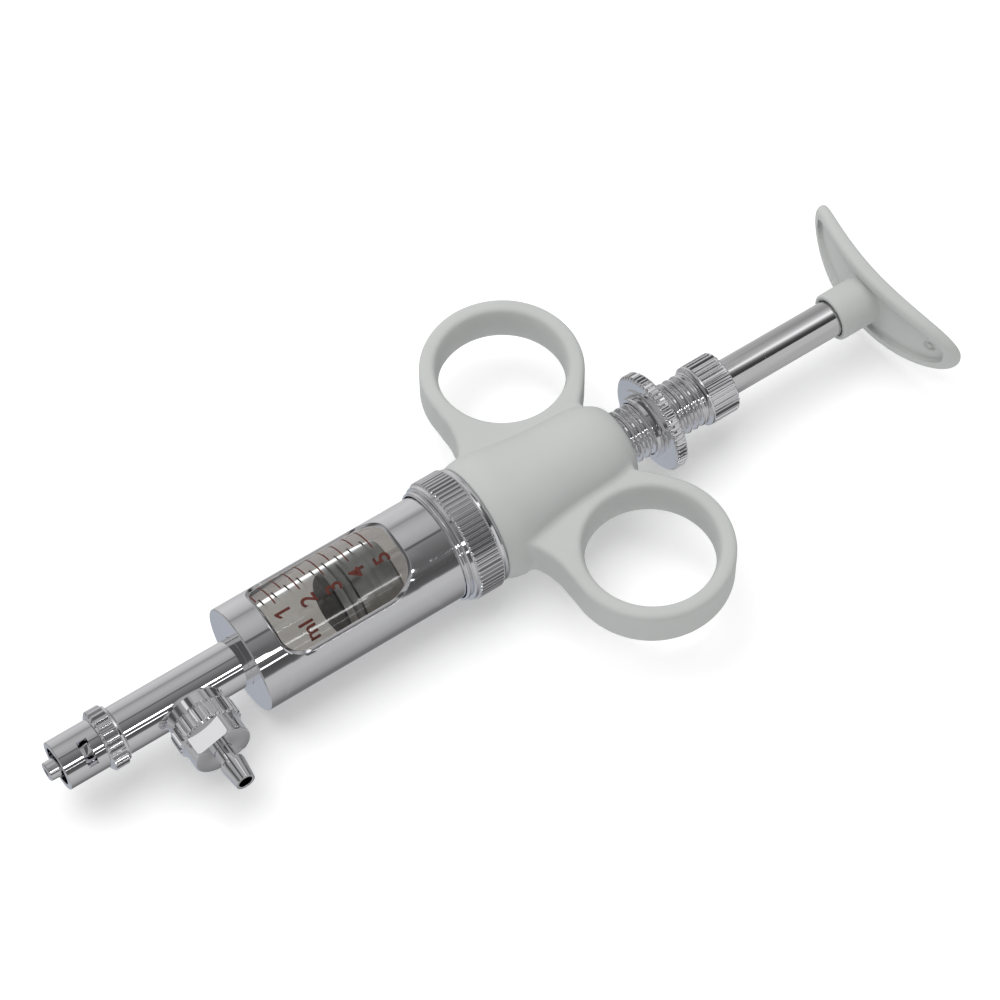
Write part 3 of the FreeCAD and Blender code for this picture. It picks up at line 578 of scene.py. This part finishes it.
def frame_line(line, low, high, side):
    """The same points spread round a rectangle outside the opening."""
    def onto(run, point):
        x, s = point
        return ((low, s), (x, side), (high, s), (x, -side))[run // 2 % 4]

    closed = line + line[:1]
    out = []
    for run, count in enumerate(RUNS):
        spot = len(out)
        if run % 2 == 0:
            out += [onto(run, point) for point in closed[spot:spot + count]]
            continue
        start, end = onto(run - 1, closed[spot]), onto(run + 1, closed[spot + count])
        corner = (start[0], end[1]) if run % 4 == 1 else (end[0], start[1])
        for step in range(count):
            share = 2 * step / count
            a, b = (start, corner) if share < 1 else (corner, end)
            out.append(tuple(one + (two - one) * (share % 1) for one, two in zip(a, b)))
    return out


def barrel_shell():
    """The tube with its window: two skins, the window's rim between them, and both ends."""
    start, end = span("barrel_shell")
    outer, inner = radius_of("union_nut") - 1.9, GLASS_RADIUS + 0.05
    front, back = TICK_ONE - 3.76, TICK_ONE + 27.24
    half = math.radians(57) * outer     # half the window's width
    # a frame round the window; the rest of the tube is plain rows of faces
    low, high, side = front - 3.4, back + 3.6, math.radians(104) * outer
    points, faces = [], []

    def spot(x, s, radius):
        """Index of a new point; s is its arc at the outer radius, from the top to -Y."""
        angle = s / outer
        points.append((x, -radius * math.sin(angle), radius * math.cos(angle)))
        return len(points) - 1

    def strip(one, two):
        """Faces between two closed loops of points."""
        for number in range(len(one)):
            after = (number + 1) % len(one)
            faces.append((one[number], one[after], two[after], two[number]))

    def sheet(rows):
        """Faces between open rows of points."""
        for one, two in zip(rows, rows[1:]):
            for number in range(len(one) - 1):
                faces.append((one[number], one[number + 1], two[number + 1], two[number]))

    def skin(radius, grow):
        """One skin round a window grown so much; gives the arcs that its two ends have."""
        line = window_line(grow, front, back, half)
        border = frame_line(line, low, high, side)
        layers = 12
        for layer in range(layers):
            rings = []
            for share in (layer / layers, (layer + 1) / layers):
                rings.append([spot(a[0] + (b[0] - a[0]) * share, a[1] + (b[1] - a[1]) * share,
                                   radius) for a, b in zip(line, border)])
            strip(*rings)
        across = [sorted({round(s, 6) for x, s in border if abs(x - edge) < 1e-6}
                         | {-side, side}) for edge in (low, high)]
        lengthways = sorted({round(x, 6) for x, s in border if abs(s - side) < 1e-6}
                            | {low, high})
        under = list(np.linspace(side, 2 * math.pi * outer - side, 40))
        sheet([[spot(x, s, radius) for s in under] for x in lengthways])
        return [arcs + under[1:] for arcs in across]

    # how far the window has grown at each radius of its bevelled rim
    rim = [(0.10, outer), (0.03, outer - 0.015), (-0.03, outer - 0.06), (-0.50, outer - 0.42),
           (-0.56, outer - 0.50), (-0.58, outer - 0.58), (-0.58, inner)]
    front_arcs, back_arcs = skin(outer, rim[0][0])
    inner_front, inner_back = skin(inner, rim[-1][0])
    loops = [[spot(x, s, radius) for x, s in window_line(grow, front, back, half)]
             for grow, radius in rim]
    for one, two in zip(loops, loops[1:]):
        strip(one, two)
    hole = 5.26
    face = rounded([(low, outer), (start, outer, 0.35), (start, hole, 0.12), (start + 1.2, hole),
                    (start + 1.2, inner), (low, inner)])
    lip = rounded([(high, outer), (end - 2, outer), (end - 2, outer + 0.85, 0.1),
                   (end, outer + 0.85, 0.15), (end, inner), (high, inner)])
    for profile, arcs, inner_arcs in ((face, front_arcs, inner_front),
                                      (lip, back_arcs, inner_back)):
        rows = [[spot(x, s, radius) for s in arcs] for x, radius in profile[:-1]]
        x, radius = profile[-1]
        sheet(rows + [[spot(x, s, radius) for s in inner_arcs]])
    return points, faces


def ink_patch(name, mesh):
    """A flat drawing (reading direction, height) wrapped on the glass, tip side up."""
    film, strip = 0.03, 0.35
    work = bmesh.new()
    work.from_mesh(mesh)
    xs = [v.co.x for v in work.verts]
    place, last = min(xs), max(xs)
    while place < last:
        place += strip
        bmesh.ops.bisect_plane(work, geom=work.verts[:] + work.edges[:] + work.faces[:],
                               plane_co=(place, 0, 0), plane_no=(1, 0, 0))
    for vert in work.verts:
        across, up, lift = vert.co
        angle = -across / GLASS_RADIUS
        radius = GLASS_RADIUS + 0.012 + lift
        vert.co = (up * MM, -radius * math.sin(angle) * MM, radius * math.cos(angle) * MM)
    work.to_mesh(mesh)
    work.free()
    thing = bpy.data.objects.new(name, mesh)
    bpy.context.scene.collection.objects.link(thing)
    skin = thing.modifiers.new("film", "SOLIDIFY")
    skin.thickness = film * MM
    skin.offset = 0
    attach(thing, "barrel")
    wear(thing, INK)


def lettering(name, text, x, arc, size):
    """Characters with their tops towards the tip; arc is where the first one starts."""
    curve = bpy.data.curves.new(name + "_text", "FONT")
    curve.body = text
    curve.size = size
    curve.offset = 0.09     # makes the strokes bolder
    curve.resolution_u = 6
    thing = bpy.data.objects.new(name + "_text", curve)
    bpy.context.scene.collection.objects.link(thing)
    graph = bpy.context.evaluated_depsgraph_get()
    mesh = bpy.data.meshes.new_from_object(thing.evaluated_get(graph))
    bpy.data.objects.remove(thing)
    left = min(v.co.x for v in mesh.vertices)
    bottom = min(v.co.y for v in mesh.vertices)
    for vert in mesh.vertices:
        across, up = vert.co.x - left - arc, vert.co.y - bottom
        vert.co = (across, x - up, 0)
    ink_patch(name, mesh)


def figure_one(name, x, arc):
    """The digit 1 with a flag, as high as the lettering."""
    outline = [(0.85, 0), (1.45, 0), (1.45, 3.45), (0.95, 3.45), (0.0, 2.8), (0.0, 2.15),
               (0.85, 2.7)]
    mesh = bpy.data.meshes.new(name)
    mesh.from_pydata([(across - arc, x - up, 0) for across, up in outline], [],
                     [tuple(range(len(outline)))])
    ink_patch(name, mesh)


def stroke(name, x, first, last, width):
    """A graduation line along the arc between two angles, in degrees."""
    a, b = -math.radians(first) * GLASS_RADIUS, -math.radians(last) * GLASS_RADIUS
    mesh = bpy.data.meshes.new(name)
    steps = 24
    blunt = 0.55    # width of the outer tip, as a share of the line's
    points = []
    for step in range(steps + 1):
        across = a + (b - a) * step / steps
        thin = width / 2 * (blunt if step == 0 else 1)
        points += [(across, x - thin, 0), (across, x + thin, 0)]
    quads = [(2 * n, 2 * n + 1, 2 * n + 3, 2 * n + 2) for n in range(steps)]
    mesh.from_pydata(points, [], quads)
    ink_patch(name, mesh)


# ---- where things are

BODY_OF = {
    node: body for node, thing in NODES.items()
    for body, empty in frame["bodies"].items() if thing.parent == empty
}
SLOT_OF = {part["node"]: part["material_slot"] for part in frame["record"]["subparts"]}

NUT_FRONT, NUT_END = span("union_nut")
SLEEVE_START, SLEEVE_END = span("dose_sleeve")
CHAMBER_FRONT, GLASS_END = span("glass_cylinder")
HUB_START, PALM_END = span("palm_rest")
HANDLE_START = span("handle")[0]
INLET_X = sum(span("inlet_nut")) / 2

GLASS_RADIUS, GLASS_BORE = radius_of("glass_cylinder"), 7.5
ROD_BORE, SLEEVE_BORE = 4.06, 6.06      # holes that the rod and the sleeve run in
SLEEVE_RADIUS, THREAD_PITCH = 6.0, 1.75
NUT_BORE, SPRING_BORE = 11.7, 7.3
HANDLE_END = NUT_END + 35.6
# outside radius, hole at its narrowest and half height of a finger ring
RING_RADIUS, RING_BORE, RING_HALF = 17.2, 13.25, 4.7
RING_X = NUT_END + 24.8
RING_Y = span("handle", 1)[1] - RING_RADIUS
PALM_PLATE = HUB_START + 8.2            # front of the palm plate, at its middle
PALM_BOTTOM = span("plunger_rod")[1] + 0.02
TICK_ONE, ML = CHAMBER_FRONT + 5.86, 5.659      # the 1 ml line, and the way to the next

GRIP = curve_table([(NUT_END + dx, radius) for dx, radius in (
    (-1, 12.45), (0.5, 12.8), (2.4, 13.2), (4.3, 13.25), (6.5, 12.95), (9, 12.5), (14, 11.75),
    (19.8, 11.2), (25, 10.97), (28.5, 10.75), (31.2, 10.2), (33.3, 9.3), (34.8, 8.2),
    (35.7, 7.0), (37, 5.5),
)])
WEB = [(RING_X + dx, dy) for dx, dy in (
    (-22.2, 0), (-21.0, 11.8), (-19.9, 13.0), (-18.8, 14.6), (-17.9, 17.0), (-17.4, 19.5),
    (-16.9, 23.0), (-15.4, 26.5), (-13.5, 26.5), (0, 14), (12, 18.5), (12, 15.5), (10.2, 12.2),
    (8.2, 9.8), (7.5, 0),
)]


# ---- the Luer end, the nozzle and the hose inlet

def luer():
    start, back = span("luer_cone")
    weighted(turned("cone", "luer_cone", [
        (start, 0.9, 0.12), (start, 1.97, 0.35), (start + 8, 2.21), (start + 9.3, 2.61),
        (start + 9.3, 4.4), (back, 4.4), (back, 0.9)], 64))
    front, end = span("luer_nut")
    ring_front = front + 9.1
    ring_back = ring_front + 3.5
    teeth, rim = 26, 6.5
    collar = turned("collar", "luer_nut", [
        (front, 4.0, 0.12), (front, 5.25, 0.22), (ring_front, 5.25), (ring_front, 5.7, 0.1),
        (ring_front + 0.55, rim, 0.2), (ring_back, rim, 0.15), (ring_back, 5.95, 0.1),
        (end, 5.9, 0.25), (end, 4.45), (front + 6.9, 4.45), (front + 6.9, 4.0)],
        teeth_angles(teeth), knurl(teeth, rim, 0.5, ring_front))
    slot_turn = Matrix.Rotation(math.radians(37), 3, "X")
    slot = [slot_turn @ Vector((x, y, z)) for x in (front + 4.6, front + 6.8)
            for y in (-2.8, 2.8) for z in (-9, 9)]
    sides = [(0, 1, 3, 2), (4, 6, 7, 5), (0, 4, 5, 1), (2, 3, 7, 6), (0, 2, 6, 4), (1, 5, 7, 3)]
    carve(collar, ([tuple(v) for v in slot], sides))
    weighted(collar)
    low, high = span("outlet_seal")
    turned("outlet_washer", "outlet_seal", [
        (low, 2.15), (low, 4.4, 0.15), (high, 4.4, 0.15), (high, 2.15)], 64)
    low, high = span("outlet_valve_spring")
    light = make("outlet_coil", "outlet_valve_spring",
                 coil(low, high, radius_of("outlet_valve_spring") - 0.18, 0.18, 5), sharp=80)
    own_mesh(light)


def nozzle():
    start, back = span("nozzle_tube")
    lip = span("luer_nut")[1] + 0.05
    flange = back - 1.3
    tube = lathe(rounded([
        (start, 2.2), (start, 4.4, 0.1), (lip, 4.4), (lip, 5.2, 0.25), (flange, 5.2),
        (flange, GLASS_RADIUS, 0.1), (back, GLASS_RADIUS, 0.1), (back, 1.1), (start + 6.5, 1.1),
        (start + 6.5, 2.2)]), 128)
    boss = lathe(rounded([
        (3.9, 2.2), (3.9, 5.0), (4.4, 6.3), (6.8, 6.3, 0.2), (6.8, 5.0), (10, 5.0, 0.2),
        (10, 2.2)]), 128, axis="y", at=INLET_X)
    weighted(make("tube", "nozzle_tube", joined(tube, boss)))


def inlet():
    """The hose nut, with two flats beyond its knurled rim, and what it holds."""
    start, end = 6.85, 15.28
    knurled = start + 4.15
    teeth, rim, round_end, flat_half = 30, 7.0, 6.27, 5.1
    flat_at = math.radians(110)

    def relief(along, radius, turn):
        radius = knurl(teeth, rim, 0.5, start, knurled + 0.3)(along, radius, turn)
        flat = flat_half / np.maximum(np.abs(np.cos(turn - flat_at)), 0.2)
        beyond = (along > knurled + 0.05) & (radius > 3)
        return np.where(beyond, np.minimum(radius, flat), radius)

    corner = math.acos(flat_half / round_end)
    flat_ends = [flat_at + side + sign * corner for side in (0, math.pi) for sign in (-1, 1)]
    angles = np.sort(np.concatenate([teeth_angles(teeth), np.mod(flat_ends, 2 * math.pi)]))
    weighted(turned("hose_nut", "inlet_nut", [
        (start, 5.05), (start, 6.55, 0.12), (start + 0.45, rim, 0.15), (knurled - 0.35, rim, 0.2),
        (knurled, 6.3), (knurled + 0.1, round_end), (end, round_end, 0.3), (end, 1.95, 0.08),
        (end - 2.58, 1.95), (end - 2.58, 5.05)], angles, relief, "y", INLET_X, sharp=28))
    shoulder = 4.98
    weighted(turned("stem", "hose_stem", [
        (11.42, 1.45), (11.42, shoulder), (12.68, shoulder), (12.68, 1.88), (18.5, 1.88, 0.15),
        (18.5, 2.6, 0.1), (19.3, 2.6, 0.3), (23.6, 2.08, 0.12), (23.6, 1.5, 0.1),
        (22.9, 1.45)], 64, None, "y", INLET_X))
    low, high = (-value for value in reversed(span("inlet_seal", 1)))
    turned("inlet_washer", "inlet_seal", [
        (low, 1.2), (low, 4.9, 0.2), (high, 4.9, 0.2), (high, 1.2)], 64, None, "y", INLET_X)
    low, high = (-value for value in reversed(span("inlet_valve_spring", 1)))
    light = make("inlet_coil", "inlet_valve_spring",
                 coil(low, high, 1.84, 0.18, 5, "y", INLET_X), sharp=80)
    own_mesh(light)


def barrel():
    shell = weighted(make("shell", "barrel_shell", barrel_shell(), sharp=38))
    # the lining material carries a faint painted glow
    shell.data.materials.append(LINING_PAINTED_GLOW)
    lined = GLASS_RADIUS + 0.12
    for face in shell.data.polygons:
        along, *across = face.center / MM
        if math.hypot(*across) < lined and along > CHAMBER_FRONT - 3:
            face.material_index = 1
    turned("glass_tube", "glass_cylinder", [
        (CHAMBER_FRONT, GLASS_BORE, 0.25), (CHAMBER_FRONT, GLASS_RADIUS, 0.35),
        (GLASS_END, GLASS_RADIUS, 0.35), (GLASS_END, GLASS_BORE, 0.25)], 192)
    for name, node, bore in (("front_washer", "front_seal", 1.1),
                             ("rear_washer", "rear_seal", GLASS_BORE)):
        low, high = span(node)
        turned(name, node, [
            (low, bore), (low, GLASS_RADIUS, 0.2), (high, GLASS_RADIUS, 0.2), (high, bore)], 96)
    low, high = span("rod_guide")
    turned("guide", "rod_guide", [
        (low, ROD_BORE, 0.15), (low, GLASS_RADIUS, 0.2), (high, GLASS_RADIUS, 0.2),
        (high, SPRING_BORE), (high - 3, SPRING_BORE, 0.3), (high - 3, ROD_BORE, 0.15)], 96)


def graduations():
    """A line for every half millilitre, the digits 1 to 5 and the unit."""
    long_start, short_start, line_end = -6.4, -21.2, -60    # degrees round the glass
    past_line = 1.8     # from a line to the foot of its digit
    for number in range(10):
        x = TICK_ONE + (0.5 * (number + 1) - 1) * ML
        first = long_start if number % 2 else short_start
        stroke("tick_%02d" % number, x, first, line_end, 0.31)
    figure_one("digit_1", TICK_ONE + past_line, math.radians(12) * GLASS_RADIUS)
    for number, first in ((2, 15), (3, 16), (4, 16), (5, 15)):
        x = TICK_ONE + (number - 1) * ML + past_line
        lettering("digit_%d" % number, str(number), x, math.radians(first) * GLASS_RADIUS, 4.75)
    lettering("unit", "ml", TICK_ONE + 4.45, math.radians(49) * GLASS_RADIUS, 4.5)


def union_nut():
    outer = radius_of("union_nut")
    lip, start = NUT_FRONT, NUT_FRONT + 2.6
    teeth = 72
    weighted(turned("clamp_nut", "union_nut", [
        (lip, NUT_BORE, 0.15), (lip, outer - 1.1, 0.4), (lip + 0.85, outer - 1.1, 0.3),
        (lip + 1.0, outer - 1.5, 0.08), (lip + 1.2, outer - 1.5, 0.08),
        (lip + 1.35, outer - 0.5, 0.35), (start - 0.3, outer - 0.5, 0.1), (start, outer, 0.25),
        (start + 5.45, outer, 0.2), (start + 5.75, outer - 0.5, 0.08),
        (NUT_END - 0.45, outer - 0.5), (NUT_END, outer - 0.9, 0.25), (NUT_END, NUT_BORE),
        (NUT_END - 6.2, NUT_BORE)],
        teeth_angles(teeth), knurl(teeth, outer, 0.42, start - 0.35, start + 5.7)))


# ---- the grip, the spring in it and the palm rest

def grip():
    step = 0.42
    low, high = (HANDLE_START - 1.5, -45.5, -15), (HANDLE_END + 8, 45.5, 15)
    make("grip", "handle", moulded(handle_field, low, high, step), sharp=60)


def palm():
    step = 0.36
    low, high = (HUB_START - 1.5, -25.6, -10.4), (PALM_END + 1.6, 25.6, 10.4)
    make("palm_plate", "palm_rest", moulded(palm_field, low, high, step), sharp=60)


def spring():
    low, high = span("return_spring")
    wire = 0.7
    shell = coil(low, high, radius_of("return_spring") - wire, wire, 7)
    coils = make("main_coil", "return_spring", shell, sharp=80)
    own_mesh(coils)


# ---- plunger, dose sleeve and lock

def plunger():
    front, back = span("piston")
    outer = radius_of("piston")
    groove = span("piston_seal")[0] - 0.1
    head = weighted(turned("piston_head", "piston", [
        (front, 0), (front, outer - 0.5, 0.3), (front + 0.5, outer, 0.3), (groove, outer, 0.1),
        (groove, outer - 1.9), (groove + 2.2, outer - 1.9), (groove + 2.2, outer, 0.1),
        (back - 0.5, outer, 0.3), (back, outer - 0.5, 0.2), (back, 2.6), (back - 10, 2.6),
        (back - 10, 0)], 128))
    # painted shade: the front face wears dark rubber for the dark zone ahead of the piston
    head.data.materials.append(RUBBER_AND_PAINTED_SHADE)
    for face in head.data.polygons:
        if face.center.x / MM < front + 0.4:
            face.material_index = 1
    low, high = span("piston_seal")
    middle = (low + high) / 2
    ring = [(middle + math.cos(a), outer - 0.94 + math.sin(a))
            for a in np.arange(24) * math.pi / 12]
    make("o_ring", "piston_seal", lathe(ring, 128))
    low, high = span("plunger_rod")
    weighted(turned("rod", "plunger_rod", [
        (low, 0), (low, 2.58, 0.3), (back, 2.58), (back, 4.0, 0.2), (high, 4.0, 0.3),
        (high, 0)], 96))
    low, high = span("stop_collar")
    weighted(turned("collar_stop", "stop_collar", [
        (low, 4.02), (low, 6.9, 0.35), (high, 6.9, 0.35), (high, 4.02)], 96))


def dose():
    """The bumper, and the sleeve: a threaded tube with a knob at its rear end."""
    low, high = span("stop_buffer")
    turned("bumper", "stop_buffer", [
        (low, ROD_BORE), (low, 5.6, 0.5), (high, 5.6, 0.3), (high, ROD_BORE)], 96)
    knob = SLEEVE_END - 7.4
    thread_start = SLEEVE_START + 0.5
    stations = [(SLEEVE_START, ROD_BORE), (SLEEVE_START, 5.5)]
    stations += [(x, SLEEVE_RADIUS)
                 for x in np.arange(thread_start, knob - 0.02, THREAD_PITCH / 14)]
    stations += [(knob, SLEEVE_RADIUS), (knob, ROD_BORE)]
    threaded = lathe(stations, 96,
                     thread(THREAD_PITCH, SLEEVE_RADIUS, 0.82, thread_start, knob - 0.25))
    lip = knob + 1.1
    teeth, rim = 30, 6.8
    knurled = lathe(rounded([
        (knob, ROD_BORE), (knob, 6.15, 0.15), (knob + 0.55, 6.75, 0.3), (lip, 6.72, 0.1),
        (lip + 0.15, rim), (SLEEVE_END - 0.1, rim, 0.3), (SLEEVE_END, 6.3, 0.15),
        (SLEEVE_END, ROD_BORE, 0.2)]), teeth_angles(teeth), knurl(teeth, rim, 0.58, lip + 0.05))
    weighted(make("setting_sleeve", "dose_sleeve", joined(threaded, knurled), sharp=42))


def lock():
    low, high = span("lock_washer")
    weighted(turned("washer", "lock_washer", [
        (low, SLEEVE_BORE, 0.1), (low, 6.95, 0.2), (high, 7.0, 0.1), (high, SLEEVE_BORE)], 96))
    low, high = span("lock_nut")
    teeth, rim = 56, 11.0
    weighted(turned("lock_disc", "lock_nut", [
        (low, SLEEVE_BORE), (low, 8.0, 0.15), (low + 0.35, 8.1, 0.1), (low + 0.4, 10.4, 0.2),
        (low + 0.9, rim, 0.2), (high - 0.45, rim, 0.2), (high, 10.45, 0.2), (high, 8.0, 0.15),
        (high - 0.25, 7.9, 0.1), (high - 0.25, SLEEVE_BORE, 0.15)],
        teeth_angles(teeth), knurl(teeth, rim, 0.5, low + 0.2)))


for build in (luer, nozzle, inlet, barrel, graduations, union_nut, grip, palm, spring, plunger,
              dose, lock):
    build()


# ---- stage, light and camera

def floor():
    """A plain pale floor, which gloss doesn't see, level with the lowest point."""
    bpy.ops.mesh.primitive_plane_add(size=6, location=(0.1, 0, CAD_BOX[0].z))
    ground = bpy.context.object
    ground.name = "floor"
    wear(ground, grained("floor_white", ((2, 2), (0.90, 0.90, 0.90), (0.92, 0.92, 0.92)),
                         Emission_Color=(1.0, 1.0, 1.0), Emission_Strength=0.22, Roughness=0.9,
                         Specular_IOR_Level=0.0))
    ground.visible_glossy = False


def world():
    """A studio whose light falls in soft bands on glossy metal, and plainly on everything else.

    around and beside are the angles of a ray's direction about X and about Y. Seen as in the
    photograph, the X of a reflection rises along the syringe, from 0.26 at the rear end of the
    barrel to 0.32 where the thread starts and 0.37 where the rod does, so each has bands of its
    own. Values far from these come from end faces and from the inlet.
    """
    plain_strength = 0.53
    made = bpy.data.worlds.new("studio")
    bpy.context.scene.world = made
    made.use_nodes = True
    tree = made.node_tree
    tree.nodes.clear()

    def node(kind, *sources, **values):
        item = tree.nodes.new("ShaderNode" + kind)
        for name, value in values.items():
            setattr(item, name, value)
        for number, source in enumerate(sources):
            if isinstance(source, (int, float)):
                item.inputs[number].default_value = source
            else:
                tree.links.new(source, item.inputs[number])
        return item

    def reckon(operation, *sources, **values):
        return node("Math", *sources, operation=operation, **values).outputs[0]

    def bearing(one, two):
        """Angle of a direction in a plane, as 0 to 1 for -180 to 180 degrees."""
        angle = reckon("ARCTAN2", reckon("MULTIPLY", one, -1), two)
        return reckon("MULTIPLY_ADD", angle, 1 / (2 * math.pi), 0.5)

    def bands(source, stops, low=-180, high=180):
        """Light by angle, with stops given in degrees, as grey levels or colours."""
        reach = high - low
        share = reckon("MULTIPLY_ADD", source, 360 / reach, -(low + 180) / reach, use_clamp=True)
        ramp = node("ValToRGB", share)
        elements = ramp.color_ramp.elements
        elements.remove(elements[1])
        for index, (degrees, level) in enumerate(stops):
            spot = (degrees - low) / reach
            element = elements[0] if index == 0 else elements.new(spot)
            element.position = spot
            shade = level if isinstance(level, tuple) else (level * 0.995, level, level * 1.01)
            element.color = (*shade, 1)
        return ramp.outputs["Color"]

    def fade(source, low, high):
        return node("MapRange", source, low, high, interpolation_type="SMOOTHSTEP").outputs[0]

    def before(source, low, high):
        return reckon("SUBTRACT", 1, fade(source, low, high))

    def mixed(share, one, two, blend="MIX"):
        item = node("Mix", data_type="RGBA", blend_type=blend)
        tree.links.new(share, item.inputs["Factor"])
        tree.links.new(one, item.inputs[6])
        tree.links.new(two, item.inputs[7])
        return item.outputs[2]

    split = node("SeparateXYZ", node("TexCoord").outputs["Generated"]).outputs
    around = bearing(split["Y"], split["Z"])
    beside = bearing(split["X"], split["Z"])

    # the nozzle and the barrel, with bright strips that fade out at the rear end of the barrel
    lower = bands(around, [
        (-180, 0.18), (-171, 0.20), (-165, 0.30), (-156, 0.56), (-140, 0.58), (-124, 0.56),
        (-100, 0.64), (-88, 0.60), (-76, 0.56), (-64, 0.47), (-57, 0.35), (-54, 0.27),
        (-51, 0.36), (-40, 0.44), (-30, 0.47), (-18, 0.45), (-4, 0.37), (0, 0.33),
    ], -180, 0)
    upper = bands(around, [
        (0, 0.33), (2, 0.11), (5, 0.12), (8, 0.24), (20, 0.20), (32, 0.14), (40, 0.12),
        (46, 0.12), (54, 0.13), (60, 0.09), (70, 0.08), (80, 0.10), (84, 0.14), (88, 0.52),
        (104, 0.52), (120, 0.46), (132, 0.42), (150, 0.32), (164, 0.20), (174, 0.16),
    ], 0, 180)
    strips = bands(around, [
        (0, 0.0), (44.8, 0.0), (46.4, 10.0), (49.0, 10.0), (50.6, 0.0), (62.6, 0.0),
        (63.8, 3.5), (64.8, 3.5), (66.0, 0.0),
    ], 0, 180)
    # the thread, the lock disc and the knob
    middle = bands(around, [
        (-180, 0.15), (-162, 0.20), (-150, 0.50), (-100, 0.60), (-40, 0.55), (-28, 0.45),
        (-22, 0.15), (-5, 0.12), (-3.5, 1.1), (3.5, 1.1), (5, 0.12), (36, 0.07), (44, 0.08),
        (48, 0.65), (105, 0.60), (118, 0.40), (140, 0.15),
    ])
    # the rod
    rear = bands(around, [
        (-160, 0.5), (-148, 0.60), (-100, 0.52), (-70, 0.40), (-48, 0.32), (-28, 0.46),
        (-14, 0.75), (-5, 1.1), (5, 1.1), (12, 0.5), (18, 0.25), (26, 0.09), (42, 0.03),
        (47, 0.03), (48.5, 0.60), (112, 0.50), (140, 0.50), (178, 0.40),
    ])
    # end faces and the inlet, with a softbox for the inlet's flat
    side = bands(beside, [
        (-180, 0.30), (-112, 0.28), (-96, 0.24), (-88, 0.04), (-78, 0.04), (-70, 0.26),
        (-55, 0.44), (-45, 0.32), (-32, 0.18), (-24, 0.18), (-15, 0.32), (-2, 0.36), (4, 0.34),
        (7, 0.08), (19, 0.10), (22, 0.40), (45, 0.34), (56, 0.10), (66, 0.09), (75, 0.32),
        (100, 0.50), (125, 0.42), (160, 0.36),
    ])
    softbox = bands(beside, [(0, 0.0), (22, 0.0), (23, 0.42), (33.5, 0.42), (35, 0.0)])
    front_face = bands(around, [(-180, (0.40, 0.43, 0.48)), (-100, (0.44, 0.46, 0.50))])

    upper_half = fade(around, 0.499, 0.501)
    near = before(split["X"], 0.25, 0.262)
    body = mixed(reckon("MULTIPLY", near, upper_half), mixed(upper_half, lower, upper), strips,
                 "ADD")
    along = mixed(fade(split["X"], 0.322, 0.332), body, middle)
    along = mixed(fade(split["X"], 0.371, 0.374), along, rear)
    level = reckon("SUBTRACT", fade(split["Y"], 0.37, 0.40), fade(split["Y"], 0.48, 0.51))
    boxed = mixed(level, side, softbox, "ADD")
    aside = mixed(before(split["Z"], -0.75, -0.6), boxed, front_face)
    off = reckon("ADD", before(split["X"], 0.0, 0.1), fade(split["X"], 0.5, 0.62), use_clamp=True)
    seen = mixed(off, along, aside)

    glossy = node("Background", seen)
    plain = node("Background")
    plain.inputs["Color"].default_value = (1, 1, 1, 1)
    plain.inputs["Strength"].default_value = plain_strength
    both = node("MixShader", node("LightPath").outputs["Is Glossy Ray"], plain.outputs[0],
                glossy.outputs[0])
    node("OutputWorld", both.outputs[0])


def lamp():
    """A large soft light from above, which mirrors and glass don't show."""
    radiance, side = 2.4, 1.0
    place, aim = Vector((0.02, 0.30, 0.9)), Vector((0.1, 0, 0))
    light = bpy.data.lights.new("key", "AREA")
    light.shape = "RECTANGLE"
    light.size = light.size_y = side
    light.energy = radiance * math.pi * side * side
    thing = bpy.data.objects.new("key", light)
    thing.location = place
    thing.rotation_euler = (aim - place).to_track_quat("-Z", "Y").to_euler()
    thing.visible_glossy = False
    thing.visible_transmission = False
    bpy.context.scene.collection.objects.link(thing)


def camera():
    """The photograph's view: its axes, and where it is taken from."""
    sensor, lens_share = 36, 3.2516     # millimetres, and focal length per image width
    right = Vector((0.82645, -0.56293, -0.00935))
    down = Vector((-0.47850, -0.69355, -0.53854))
    ahead = Vector((0.29668, 0.44955, -0.84255))
    place = Vector((-0.08861, -0.29489, 0.55622))
    data = bpy.data.cameras.new("camera")
    data.sensor_width = sensor
    data.lens = lens_share * sensor
    data.clip_start, data.clip_end = 0.01, 20
    thing = bpy.data.objects.new("camera", data)
    turn = Matrix((right, -down, -ahead)).transposed()
    thing.matrix_world = Matrix.Translation(place) @ turn.to_4x4()
    bpy.context.scene.collection.objects.link(thing)
    bpy.context.scene.camera = thing


floor()
world()
lamp()
camera()
bpy.context.scene.view_settings.view_transform = "Standard"
